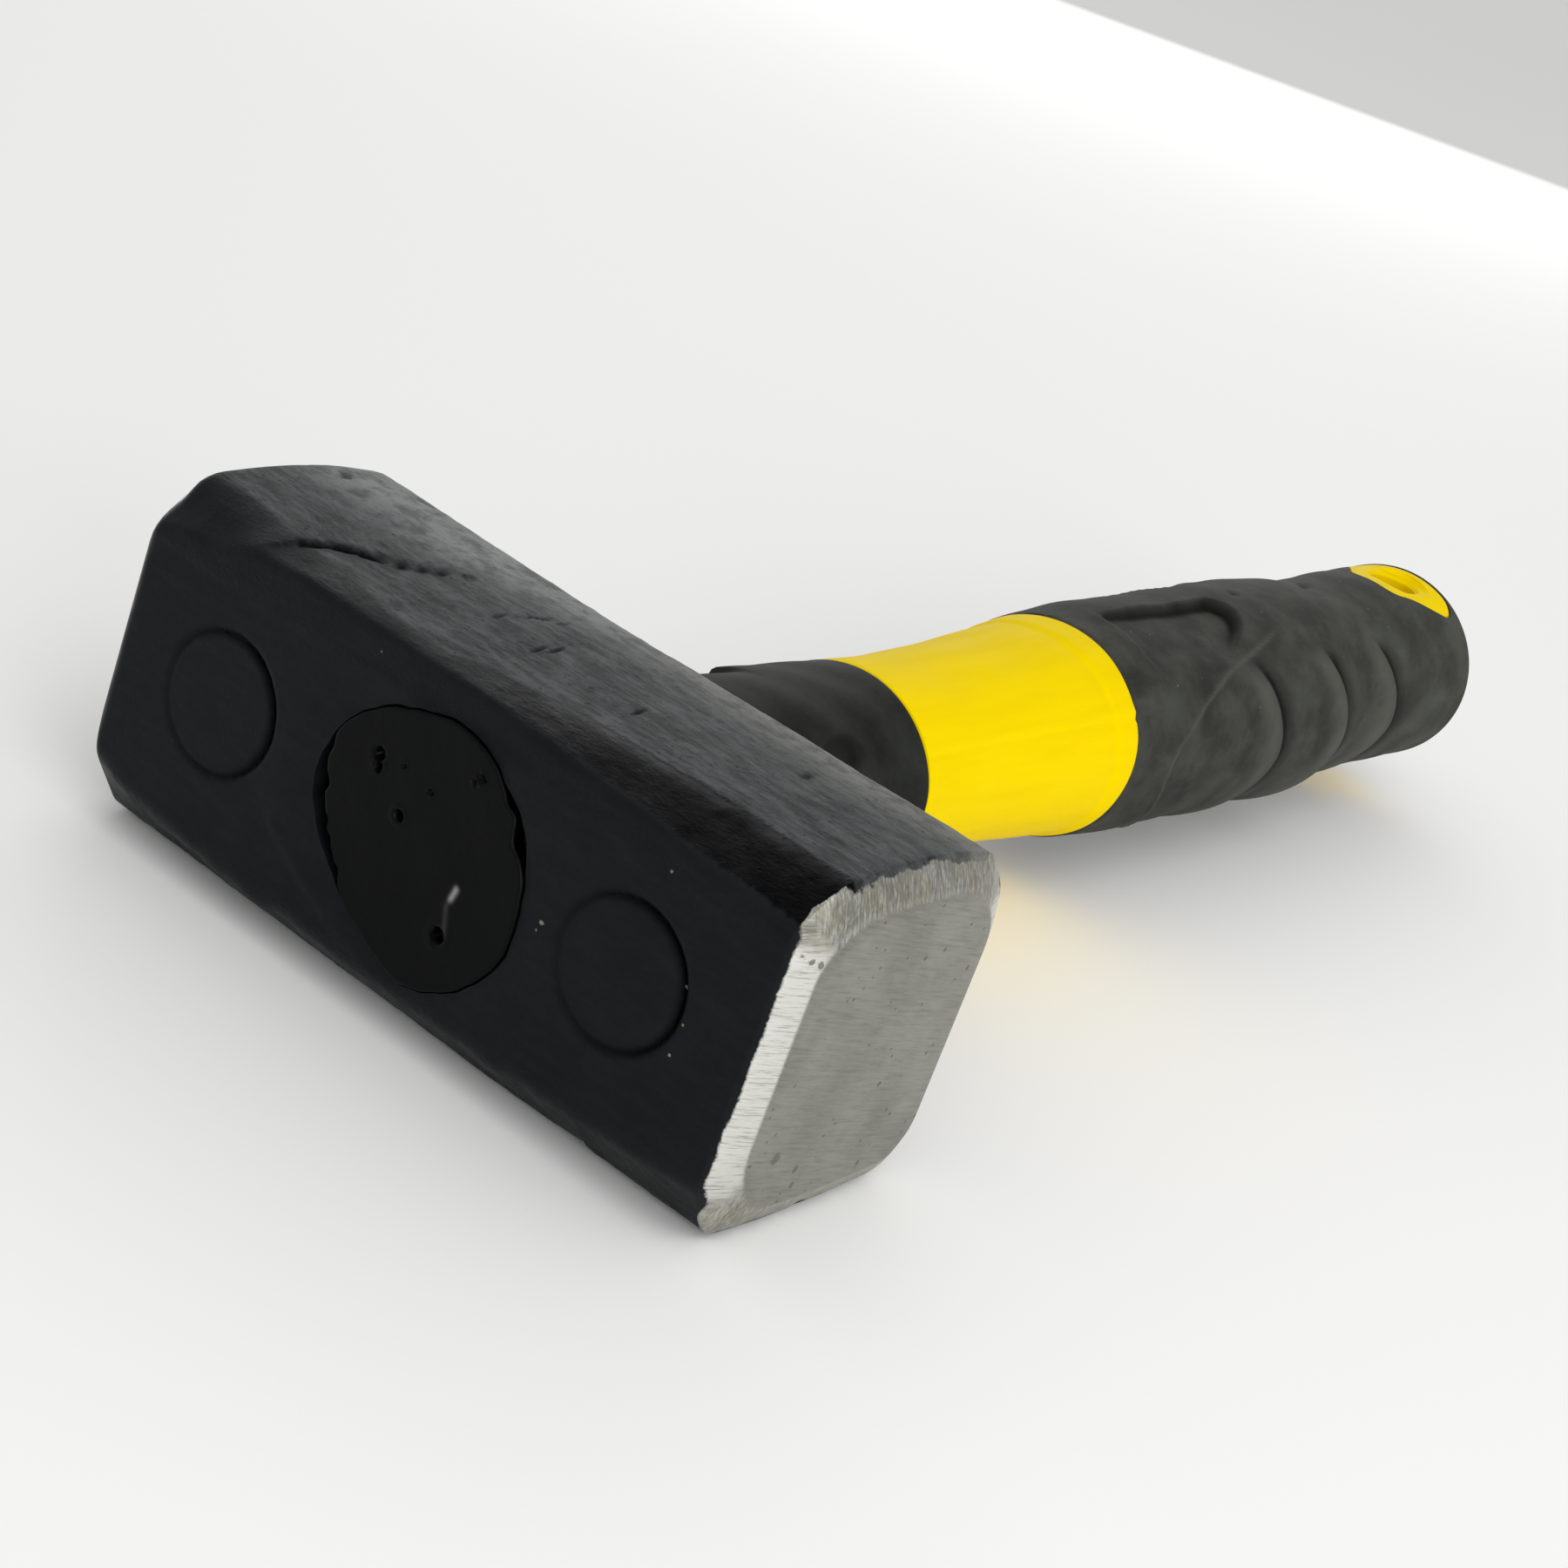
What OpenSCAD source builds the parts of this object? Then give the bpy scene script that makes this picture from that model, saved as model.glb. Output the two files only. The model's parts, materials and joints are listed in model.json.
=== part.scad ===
// Club hammer: a forged octagonal head potted onto a short rubber-gripped handle.
// It lies on one cheek. +X runs from the head to the butt of the handle, +Y along the head, +Z up.
// The origin is the middle of the lower cheek, straight under the centre of the eye.

/* [Head] */
// Length of the head from striking face to striking face
head_len = 107; // [90:1:140]
// Height of the head from cheek to cheek
head_w = 46.5; // [40:0.5:60]
// Depth of the head along the handle
head_d = 44; // [38:1:56]
// Leg of the chamfer along each of the four long edges
edge_chamfer = 6; // [3:0.5:8]
// Width of the flat land along the middle of each cheek
cheek_land = 10; // [6:1:20]
// Forging draft: drop of each cheek from its land to its outer edge
draft_outer = 0.8; // [0:0.1:2]
// Forging draft: drop of each cheek from its land to its edge on the handle side
draft_inner = 1.5; // [0:0.1:3]
// Width of the ground bevel around each striking face
face_bevel = 3; // [1:0.5:5]
// Radius of the two stamped pads beside the eye
pad_r = 9; // [6:0.5:10]
// Distance from the centre of the eye to the centre of each pad
pad_offset = 33.5; // [28:0.5:36]
// Width of the groove around each pad
pad_groove_w = 0.8; // [0.4:0.1:1.2]
// Depth of the groove around each pad
pad_groove_depth = 0.6; // [0.3:0.1:1]

/* [Eye] */
// Radius of the eye's round ends at the outer face
eye_r_outer = 15; // [14:0.5:16.5]
// Radius of the eye's round ends at the handle side
eye_r_inner = 12.5; // [11:0.5:13.5]
// Straight length between the round ends of the eye
eye_flat = 3; // [1:0.5:6]
// Height of the resin pool above the outer face
pool_proud = 0.4; // [0.2:0.1:1]
// Thickness of the rubber ring under the head
seal_t = 2.5; // [1.5:0.5:4]
// Step from the neck guard's outside in to the seal's edge
seal_inset = 0.6; // [0.2:0.1:1]

/* [Core] */
// Radius of the fibreglass rod
core_r = 9; // [7:0.5:9.5]
// Depth of resin over the rod's end in the eye
core_cover = 3; // [2:0.5:6]
// Solid plastic between the rod's end and the hang hole
core_stop = 7; // [4:0.5:12]

/* [Handle] */
// Length of the rubber neck guard under the head
guard_len = 41.5; // [30:0.5:60]
// Length of the bare yellow band
band_len = 55; // [40:1:80]
// Length of the rubber grip, up to the butt
grip_len = 135; // [120:1:170]
// Half height of the neck right under the head
neck_h = 15.6; // [15:0.2:18]
// Half height of the handle at its waist
waist_h = 14.1; // [13.5:0.1:16]
// Half height of the grip at its swell
swell_h = 18.5; // [17:0.1:20]
// Half height of the grip at the dip before the butt
dip_h = 17.2; // [16.5:0.1:19]
// Half height of the grip at the butt
butt_h = 18; // [17:0.1:20]
// Width over height of the oval neck, band and swell
oval = 1.1; // [1:0.01:1.2]
// Width over height of the grip from the dip to the butt
butt_oval = 1.03; // [1:0.01:1.1]
// Distance from the guard to the waist
waist_in = 8; // [4:1:16]
// Distance from the start of the grip to the full swell
swell_in = 29; // [20:1:36]
// Length of the straight swell
swell_len = 38; // [20:1:40]
// Distance from the dip to the butt
dip_back = 42; // [34:1:46]
// Radius of the rounding at the butt
butt_round = 5; // [3:0.5:7]

/* [Rubber] */
// Thickness of the neck guard
guard_wall = 2; // [1.5:0.1:2.5]
// Thickness of the grip over the yellow jacket
grip_wall = 3; // [2:0.1:3.5]
// Thickness of the grip over the end of the jacket
butt_wall = 2; // [1.5:0.1:3]
// Height of the grip's rubber above the yellow band
grip_lip = 0.5; // [0.2:0.1:1]
// Number of finger steps on each side of the grip
finger_steps = 3; // [2:1:3]
// Distance from one finger step to the next
finger_pitch = 25; // [22:1:26]
// Distance from the butt to the last finger step
finger_back = 35; // [34:1:42]
// Depth of a finger step
finger_depth = 0.9; // [0.4:0.1:1.2]

/* [Panel] */
// Length of the sunk panel on each side of the grip
panel_len = 36; // [24:1:44]
// Width of the sunk panel
panel_w = 15; // [10:1:18]
// Depth of the sunk panel under the swell
panel_depth = 1.2; // [0.6:0.1:1.8]
// Distance from the start of the grip to the panel
panel_in = 12; // [8:1:20]

/* [Hang hole] */
// Radius of the hang hole
hang_r = 4.5; // [3:0.5:5]
// Distance from the hang hole's axis to the butt
hang_back = 13.5; // [12:0.5:16]
// Radius of the flat land around each mouth of the hang hole
land_r = 6.5; // [6:0.5:7]
// Depth of that land below the crown of the butt
land_drop = 1.2; // [0.8:0.1:2]
// Radius of the window's round corners
window_corner_r = 4; // [3:0.5:5]
// Width of the window at its narrow end, towards the head
window_narrow = 12; // [11:0.5:20]
// Width of the window at its broad end, towards the butt
window_broad = 22; // [18:0.5:24]
// Distance from the hang hole's axis to the narrow end of the window
window_fore = 10.5; // [9:0.5:15]
// Distance from the hang hole's axis to the broad end of the window
window_aft = 8.5; // [7:0.5:9]

/* [Neck dimples] */
// Radius of the four core-pin dimples in the neck guard
dimple_r = 3.5; // [2:0.5:4]
// Depth of a dimple
dimple_depth = 1; // [0.5:0.1:1.4]
// Distance from the head to the middle of the dimples
dimple_in = 22; // [12:1:24]
// Tilt of each dimple from the side of the handle
dimple_tilt = 42; // [30:1:60]

/* [Hidden] */
$fn = 96;
sides = 36;       // flats around each oval section
fine_step = 4;    // largest spacing of the sections where the surface is seen
coarse_step = 8;  // largest spacing of the sections where it is covered
over = 1;         // how far a cutting tool runs past what it cuts

x_face = -head_d / 2;
seal_r = max(eye_r_inner + eye_flat / 2, neck_h - seal_inset);
x_seal = head_d / 2;
x_guard = x_seal + seal_t;
x_band = x_guard + guard_len;
x_grip = x_band + band_len;
x_butt = x_grip + grip_len;
x_jacket_end = x_butt - butt_wall;
x_hang = x_butt - hang_back;
x_core_end = x_hang - hang_r - core_stop;
land_z = butt_h - land_drop;

// Sections that shape the handle: place, half width, half height
stations = [
    [x_guard, neck_h * oval, neck_h],
    [x_band + waist_in, waist_h * oval, waist_h],
    [x_grip + swell_in, swell_h * oval, swell_h],
    [x_grip + swell_in + swell_len, swell_h * oval, swell_h],
    [x_butt - dip_back, dip_h * butt_oval, dip_h],
    [x_butt - hang_back, butt_h * butt_oval, butt_h],
    [x_butt, butt_h * butt_oval, butt_h]
];

function ease(t) = let(c = min(1, max(0, t))) c * c * (3 - 2 * c);
function span(x, i) = (x - stations[i][0]) / (stations[i + 1][0] - stations[i][0]);
function last_before(x) = max([for (i = [0 : len(stations) - 2]) if (i == 0 || stations[i][0] <= x) i]);
function half(x, k) =
    let(i = last_before(x)) stations[i][k] + (stations[i + 1][k] - stations[i][k]) * ease(span(x, i));

// One section: its place, half width, half height, and 1 where finger steps are moulded
function section(x, inset, stepped = 0) = [x, half(x, 1) - inset, half(x, 2) - inset, stepped];
function places(a, b, step) =
    let(n = ceil((b - a) / step)) [for (i = [0 : n]) a + (b - a) * i / n];
function reversed(list) = [for (i = [len(list) - 1 : -1 : 0]) list[i]];

// Depth of the finger steps at one point; they fade out towards the top and the bottom of the grip
function step_place(k, a) = x_butt - finger_back - k * finger_pitch - 9 * pow(sin(a), 2);
function step_dip(x, a, k) = let(d = (x - step_place(k, a)) / 3) exp(-d * d);
function fingers(x, a) =
    finger_depth * ease(1.6 * abs(cos(a)) - 0.5)
    * max([for (k = [0 : finger_steps - 1]) step_dip(x, a, k)]);

function point(s, a) =
    let(dip = s[3] == 1 ? fingers(s[0], a) : 0) [s[0], (s[1] - dip) * cos(a), (s[2] - dip) * sin(a)];

under_guard = [for (x = places(x_guard, x_band, coarse_step)) section(x, guard_wall)];
over_guard = [for (x = places(x_guard, x_band, coarse_step)) section(x, 0)];
bare_band = [for (x = places(x_band, x_grip, fine_step)) section(x, grip_lip * ease((x - x_band) / band_len))];
under_grip = [for (x = places(x_grip, x_jacket_end, coarse_step)) section(x, grip_wall)];
over_grip = [for (x = places(x_grip, x_butt - butt_round, fine_step)) section(x, 0, 1)];
round_butt = [
    for (a = [22.5 : 22.5 : 90])
        [x_butt - butt_round * (1 - sin(a)), half(x_butt, 1) - butt_round * (1 - cos(a)),
         half(x_butt, 2) - butt_round * (1 - cos(a)), 0]
];

// Everything is drawn around the handle's axis and lifted until the lower cheek is at zero
module on_cheek() {
    translate([0, 0, head_w / 2]) children();
}

// Skin through a list of sections; a ring joins the last one back to the first instead of capping both
module loft(list, ring = false) {
    n = len(list);
    last = ring ? n - 1 : n - 2;
    polyhedron(
        points = [for (s = list) for (j = [0 : sides - 1]) point(s, 360 * j / sides)],
        faces = concat(
            [for (i = [0 : last]) for (j = [0 : sides - 1])
                let(a = i * sides, b = ((i + 1) % n) * sides, k = (j + 1) % sides)
                [a + j, b + j, b + k, a + k]],
            ring ? [] : [[for (j = [0 : sides - 1]) j]],
            ring ? [] : [[for (j = [sides - 1 : -1 : 0]) (n - 1) * sides + j]]
        ),
        convexity = 6
    );
}

// Rod along the handle from one place to another
module rod(r, from, to) {
    translate([from, 0, 0]) rotate([0, 90, 0]) cylinder(h = to - from, r = r);
}

// Rectangle with its four corners cut off
module cut_corners(long, high, cut) {
    x = long / 2;
    y = high / 2;
    polygon([
        [x, cut - y], [x, y - cut], [x - cut, y], [cut - x, y],
        [-x, y - cut], [-x, cut - y], [cut - x, -y], [x - cut, -y]
    ]);
}

// Section across the head's length, with each cheek falling away from its middle land
module forged_section() {
    x = head_d / 2;
    c = edge_chamfer;
    land = cheek_land / 2;
    z = head_w / 2;
    outer = z - draft_outer;
    inner = z - draft_inner;
    polygon([
        [-x, c - outer], [-x, outer - c], [c - x, outer], [-land, z], [land, z], [x - c, inner],
        [x, inner - c], [x, c - inner], [x - c, -inner], [land, -z], [-land, -z], [c - x, -outer]
    ]);
}

module long_edges() {
    rotate([90, 0, 0]) linear_extrude(height = head_len, center = true) forged_section();
}

module cheek_bevels() {
    rotate([90, 0, 90])
        linear_extrude(height = head_d, center = true) cut_corners(head_len, head_w, face_bevel);
}

module side_bevels() {
    linear_extrude(height = head_w, center = true) cut_corners(head_d, head_len, face_bevel);
}

// Turned envelope that carries the bevel round the corners of both striking faces
module corner_bevels() {
    corner = norm([head_d / 2 - edge_chamfer, head_w / 2]);
    y = head_len / 2;
    rotate([90, 0, 0]) rotate_extrude()
        polygon([[0, -y], [corner - face_bevel, -y], [corner, face_bevel - y],
                 [corner, y - face_bevel], [corner - face_bevel, y], [0, y]]);
}

// Tapered eye with two round ends, widest at the outer face
module eye() {
    x = head_d / 2;
    for (s = [-1, 1])
        translate([-x, s * eye_flat / 2, 0]) rotate([0, 90, 0])
            cylinder(h = head_d, r1 = eye_r_outer, r2 = eye_r_inner);
    rotate([90, 0, 0]) linear_extrude(height = eye_flat, center = true)
        polygon([[-x, -eye_r_outer], [x, -eye_r_inner], [x, eye_r_inner], [-x, eye_r_outer]]);
}

// Resin that stands above the mouth of the eye
module pool() {
    for (s = [-1, 1])
        translate([0, s * eye_flat / 2, 0]) rod(eye_r_outer, x_face - pool_proud, x_face);
    translate([x_face - pool_proud, -eye_flat / 2, -eye_r_outer])
        cube([pool_proud, eye_flat, 2 * eye_r_outer]);
}

module pad_groove() {
    difference() {
        rod(pad_r + pad_groove_w / 2, x_face - over, x_face + pad_groove_depth);
        rod(pad_r - pad_groove_w / 2, x_face - 2 * over, x_face + pad_groove_depth + over);
    }
}

// Outline of the hang hole's window, seen from above
module window_outline() {
    c = window_corner_r;
    fore = x_hang - window_fore + c;
    aft = x_hang + window_aft - c;
    narrow = window_narrow / 2 - c;
    broad = window_broad / 2 - c;
    hull() {
        for (s = [-1, 1]) translate([fore, s * narrow]) circle(r = c, $fn = 32);
        for (s = [-1, 1]) translate([aft, s * broad]) circle(r = c, $fn = 32);
    }
}

module window() {
    h = 2 * butt_h * butt_oval + 2 * over;
    linear_extrude(height = h, center = true) window_outline();
}

// Yellow boss that fills the window flush with the rubber
module boss() {
    seen = [for (s = over_grip) if (s[0] > x_hang - window_fore - 2 * fine_step) [s[0], s[1], s[2], 0]];
    intersection() {
        window();
        loft(concat(seen, round_butt));
    }
}

module hang_hole() {
    cylinder(h = 2 * butt_h + 2 * over, r = hang_r, center = true);
    for (s = [0, 1])
        mirror([0, 0, s]) translate([0, 0, land_z]) cylinder(h = land_drop + over, r = land_r);
}

// Sunk panel with one square end and one round end
module panel() {
    r = panel_w / 2;
    x = x_grip + panel_in;
    z = swell_h - panel_depth;
    translate([x, -r, z]) cube([panel_len - r, panel_w, panel_depth + over]);
    translate([x + panel_len - r, 0, z]) cylinder(h = panel_depth + over, r = r);
}

module dimples() {
    x = x_seal + dimple_in;
    depth = half(x, 2) - dimple_depth;
    for (a = [dimple_tilt, 180 - dimple_tilt, 180 + dimple_tilt, 360 - dimple_tilt])
        translate([x, 0, 0]) rotate([a - 90, 0, 0]) translate([0, 0, depth])
            cylinder(h = neck_h, r = dimple_r);
}

module head() {
    color("dimgray") on_cheek() difference() {
        intersection() {
            long_edges();
            cheek_bevels();
            side_bevels();
            corner_bevels();
        }
        eye();
        for (s = [-1, 1]) translate([0, s * pad_offset, 0]) pad_groove();
    }
}

module eye_resin() {
    color("black") on_cheek() difference() {
        union() {
            eye();
            pool();
        }
        rod(core_r, x_face + core_cover, x_seal + over);
    }
}

module eye_seal() {
    color("darkslategray") on_cheek() difference() {
        rod(seal_r, x_seal, x_guard);
        rod(core_r, x_seal - over, x_guard + over);
    }
}

module core_rod() {
    color("wheat") on_cheek() rod(core_r, x_face + core_cover, x_core_end);
}

module jacket() {
    color("gold") on_cheek() difference() {
        union() {
            loft(concat(under_guard, bare_band, under_grip));
            boss();
        }
        rod(core_r, x_guard - over, x_core_end);
        translate([x_hang, 0, 0]) hang_hole();
    }
}

module neck_guard() {
    color("darkslategray") on_cheek() difference() {
        loft(concat(over_guard, reversed(under_guard)), ring = true);
        dimples();
    }
}

module grip() {
    color("darkslategray") on_cheek() difference() {
        loft(concat(reversed(under_grip), over_grip, round_butt));
        window();
        for (s = [0, 1]) mirror([0, 0, s]) panel();
    }
}

head();
eye_resin();
eye_seal();
core_rod();
jacket();
neck_guard();
grip();
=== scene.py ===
# Club hammer: a forged head on a sleeved fibreglass handle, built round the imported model.
import json
import math

import bmesh
import bpy
import numpy as np
from mathutils import Matrix, Vector


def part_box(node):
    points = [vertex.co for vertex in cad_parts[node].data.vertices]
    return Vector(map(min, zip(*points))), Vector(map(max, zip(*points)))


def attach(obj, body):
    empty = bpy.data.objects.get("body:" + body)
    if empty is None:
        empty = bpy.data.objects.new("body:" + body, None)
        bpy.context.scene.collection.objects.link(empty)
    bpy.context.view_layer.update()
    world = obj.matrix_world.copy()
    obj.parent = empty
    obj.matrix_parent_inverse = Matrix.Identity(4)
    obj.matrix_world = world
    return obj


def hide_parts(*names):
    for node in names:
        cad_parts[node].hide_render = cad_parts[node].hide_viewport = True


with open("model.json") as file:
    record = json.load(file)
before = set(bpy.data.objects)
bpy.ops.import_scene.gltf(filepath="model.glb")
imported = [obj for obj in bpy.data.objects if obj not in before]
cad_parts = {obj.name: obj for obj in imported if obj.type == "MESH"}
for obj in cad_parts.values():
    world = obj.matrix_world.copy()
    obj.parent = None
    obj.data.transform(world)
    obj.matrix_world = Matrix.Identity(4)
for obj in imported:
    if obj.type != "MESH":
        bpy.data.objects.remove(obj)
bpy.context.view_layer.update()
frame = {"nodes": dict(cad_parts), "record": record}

mm = 0.001
mergeWithin = 1e-7  # points closer than this become one
headLow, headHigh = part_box("head")
guardLow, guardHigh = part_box("neck_guard")
sealLow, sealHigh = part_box("eye_seal")
gripLow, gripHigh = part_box("grip")
coreLow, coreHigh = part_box("core_rod")
resinLow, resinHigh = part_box("eye_resin")
hangMount = next(m for m in frame["record"]["mounts"] if m["name"] == "hang_hole")

# everything below is in millimetres round the handle's axis, and lifted onto the cheek at the end
axisHeight = (headLow.z + headHigh.z) / 2 / mm
halfLength = headHigh.y / mm
halfDepth = headHigh.x / mm
halfHeight = (headHigh.z - headLow.z) / 2 / mm
guardStart = guardLow.x / mm
bandStart = guardHigh.x / mm
gripStart = gripLow.x / mm
buttEnd = gripHigh.x / mm
hangPlace = hangMount["pos_m"][0] / mm
coreRadius = (coreHigh.z - coreLow.z) / 2 / mm


def printStage(words):
    print("hammer:", words)


class Wire:
    # one socket of a node, so that a pattern or a shape can be written as a sum
    def __init__(self, desk, socket):
        self.desk = desk
        self.socket = socket

    def sum(self, kind, *others):
        return self.desk.add("ShaderNodeMath", {"operation": kind}, dict(enumerate((self, *others))))

    def __add__(self, other):
        return self.sum("ADD", other)

    __radd__ = __add__

    def __sub__(self, other):
        return self.sum("SUBTRACT", other)

    def __rsub__(self, other):
        return self.desk.add("ShaderNodeMath", {"operation": "SUBTRACT"}, {0: other, 1: self})

    def __mul__(self, other):
        return self.sum("MULTIPLY", other)

    __rmul__ = __mul__

    def __truediv__(self, other):
        return self.sum("DIVIDE", other)

    def __neg__(self):
        return self.sum("MULTIPLY", -1.0)

    def __pow__(self, other):
        return self.sum("POWER", other)

    def __abs__(self):
        return self.sum("ABSOLUTE")

    def least(self, other):
        return self.sum("MINIMUM", other)

    def most(self, other):
        return self.sum("MAXIMUM", other)

    def sine(self):
        return self.sum("SINE")

    def cosine(self):
        return self.sum("COSINE")

    def rise(self, low, high):
        # eased step from 0 at low to 1 at high
        return self.desk.add(
            "ShaderNodeMapRange",
            {"interpolation_type": "SMOOTHSTEP"},
            {"Value": self, "From Min": low, "From Max": high},
        )


class Desk:
    # where the nodes of one tree are added
    def __init__(self, tree):
        self.tree = tree

    def add(self, kind, settings=None, inputs=None, out=0):
        node = self.tree.nodes.new(kind)
        for name, value in (settings or {}).items():
            setattr(node, name, value)
        for name, value in (inputs or {}).items():
            if isinstance(value, Wire):
                self.tree.links.new(value.socket, node.inputs[name])
            else:
                node.inputs[name].default_value = value
        return Wire(self, node.outputs[out])

    def parts(self, vector):
        node = self.tree.nodes.new("ShaderNodeSeparateXYZ")
        self.tree.links.new(vector.socket, node.inputs[0])
        return [Wire(self, s) for s in node.outputs]

    def join(self, x, y, z):
        return self.add("ShaderNodeCombineXYZ", None, {0: x, 1: y, 2: z})

    def vector(self, kind, a, b):
        return self.add("ShaderNodeVectorMath", {"operation": kind}, {0: a, 1: b})

    def scaled(self, vector, amount):
        return self.add("ShaderNodeVectorMath", {"operation": "SCALE"}, {0: vector, "Scale": amount})

    def blend(self, factor, a, b):
        return self.add("ShaderNodeMix", {"data_type": "RGBA"}, {0: factor, 6: a, 7: b}, 2)

    def between(self, factor, a, b):
        return self.add("ShaderNodeMix", {"data_type": "FLOAT"}, {0: factor, 2: a, 3: b})

    def noise(self, vector, scale, detail=2.0, roughness=0.5):
        return self.add(
            "ShaderNodeTexNoise",
            {"noise_dimensions": "3D"},
            {"Vector": vector, "Scale": scale, "Detail": detail, "Roughness": roughness},
        )

    def stretched(self, vector, stretch, *settings):
        # noise drawn out along the axes with the smaller factors
        return self.noise(self.vector("MULTIPLY", vector, stretch), *settings)

    def near(self, value, at, width):
        # 1 where the value is at a place, falling to 0 within the width
        return 1.0 - abs(value - at).rise(0.0, width)

    def spots(self, vector, scale, size):
        # 1 inside small round spots, one in each cell of a loose lattice
        return 1.0 - self.add(
            "ShaderNodeTexVoronoi", {"feature": "F1"}, {"Vector": vector, "Scale": scale}
        ).rise(size * 0.6, size)

    def painted(self, name):
        return self.add("ShaderNodeAttribute", {"attribute_name": name}, None, "Fac")

    def dots(self, vector, places):
        # ragged spots at given points, each with its radius
        ragged = (self.noise(vector, 1.9, 3.0, 0.6) - 0.5) * 0.8
        total = None
        for *place, radius in places:
            far = self.vector("SUBTRACT", vector, tuple(place))
            length = self.add("ShaderNodeVectorMath", {"operation": "LENGTH"}, {0: far}, "Value")
            spot = 1.0 - (length + ragged * (radius * 1.6)).rise(radius * 0.6, radius)
            total = spot if total is None else total.most(spot)
        return total

    def bump(self, height, distance):
        return self.add("ShaderNodeBump", None, {"Strength": 1.0, "Distance": distance, "Height": height})


class Finish(Desk):
    # a material with one Principled shader, its pattern read in millimetres round the handle's axis
    def __init__(self, name):
        self.material = bpy.data.materials.new(name)
        self.material.use_nodes = True
        super().__init__(self.material.node_tree)
        self.tree.nodes.clear()
        self.shader = self.tree.nodes.new("ShaderNodeBsdfPrincipled")
        output = self.tree.nodes.new("ShaderNodeOutputMaterial")
        self.tree.links.new(self.shader.outputs[0], output.inputs["Surface"])
        here = self.add("ShaderNodeTexCoord", None, None, "Object")
        inMillimetres = self.scaled(here, 1 / mm)
        self.place = self.vector("SUBTRACT", inMillimetres, (0.0, 0.0, axisHeight))

    def feed(self, **sockets):
        for name, value in sockets.items():
            socket = self.shader.inputs[name.replace("_", " ")]
            if isinstance(value, Wire):
                self.tree.links.new(value.socket, socket)
            else:
                socket.default_value = value
        return self.material


def newPiece(name, mesh):
    piece = bpy.data.objects.new(name, mesh)
    bpy.context.scene.collection.objects.link(piece)
    return piece


def toRow(points):
    # millimetres round the handle's axis to metres in the row frame
    points = np.asarray(points, float) * mm
    points[..., 2] += axisHeight * mm
    return points


def fromRow(points):
    points = np.array(points, float)
    points[..., 2] -= axisHeight * mm
    return points / mm


def ringMesh(name, rings):
    # skin through rings of equally many points, with a middle point that closes each end
    rings = np.asarray(rings, float)
    count, around = rings.shape[:2]
    points = list(toRow(rings).reshape(-1, 3))
    faces = []
    for i in range(count - 1):
        a, b = i * around, (i + 1) * around
        for j in range(around):
            k = (j + 1) % around
            faces.append((a + j, a + k, b + k, b + j))
    for ring, turn in ((0, 1), (count - 1, -1)):
        middle = len(points)
        points.append(np.mean(points[ring * around : (ring + 1) * around], axis=0))
        for j in range(around):
            edge = (ring * around + j, ring * around + (j + 1) % around)
            faces.append((middle, *edge[::-turn]))
    mesh = bpy.data.meshes.new(name)
    mesh.from_pydata([tuple(p) for p in points], [], faces)
    tidyMesh(mesh)
    return mesh


def tidyMesh(mesh):
    # doubles merged, normals outwards, shading smooth
    work = bmesh.new()
    work.from_mesh(mesh)
    bmesh.ops.remove_doubles(work, verts=work.verts, dist=mergeWithin)
    bmesh.ops.dissolve_degenerate(work, edges=work.edges, dist=mergeWithin)
    bmesh.ops.recalc_face_normals(work, faces=work.faces)
    work.to_mesh(mesh)
    work.free()
    mesh.shade_smooth()


def settle(piece):
    # the piece's live modifiers made into its own mesh
    made = bpy.data.meshes.new_from_object(piece.evaluated_get(bpy.context.evaluated_depsgraph_get()))
    old = piece.data
    piece.modifiers.clear()
    piece.data = made
    made.name = piece.name
    bpy.data.meshes.remove(old)
    return piece


def boolean(piece, tool, operation):
    tool.data.materials.append(piece.data.materials[0])
    step = piece.modifiers.new(operation.title(), "BOOLEAN")
    step.operation = operation
    step.solver = "EXACT"
    step.material_mode = "TRANSFER"
    step.object = tool
    settle(piece)
    bpy.data.objects.remove(tool)
    return piece


def meshPoints(mesh):
    flat = np.zeros(len(mesh.vertices) * 3)
    mesh.vertices.foreach_get("co", flat)
    return fromRow(flat.reshape(-1, 3))


def setMeshPoints(mesh, points):
    mesh.vertices.foreach_set("co", toRow(points).ravel())
    mesh.update()


def paint(piece, name, amount):
    # a number at each point of the mesh that its finish reads
    mark = piece.data.attributes.new(name, "FLOAT", "POINT")
    mark.data.foreach_set("value", np.clip(amount, 0, 1))


def ease(t):
    t = np.clip(t, 0, 1)
    return t * t * (3 - 2 * t)


def hump(distance, width):
    return np.exp(-((distance / width) ** 2))


def readTable(table, at):
    # smooth reading of a short table of (place, value)
    places, values = np.array(table, float).T
    at = np.clip(at, places[0], places[-1])
    i = np.clip(np.searchsorted(places, at, side="right") - 1, 0, len(places) - 2)
    return values[i] + (values[i + 1] - values[i]) * ease((at - places[i]) / (places[i + 1] - places[i]))


def awayFrom(path, a, b):
    # distance of each point (a, b) from a broken line, and the side of it that the point is on
    best = np.full(a.shape, 1e9)
    side = np.zeros(a.shape)
    for (a0, b0), (a1, b1) in zip(path, path[1:]):
        da, db = a1 - a0, b1 - b0
        t = np.clip(((a - a0) * da + (b - b0) * db) / (da * da + db * db), 0, 1)
        d = np.hypot(a - a0 - t * da, b - b0 - t * db)
        nearer = d < best
        best = np.where(nearer, d, best)
        side = np.where(nearer, np.sign((a - a0) * db - (b - b0) * da), side)
    return best, side


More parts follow.
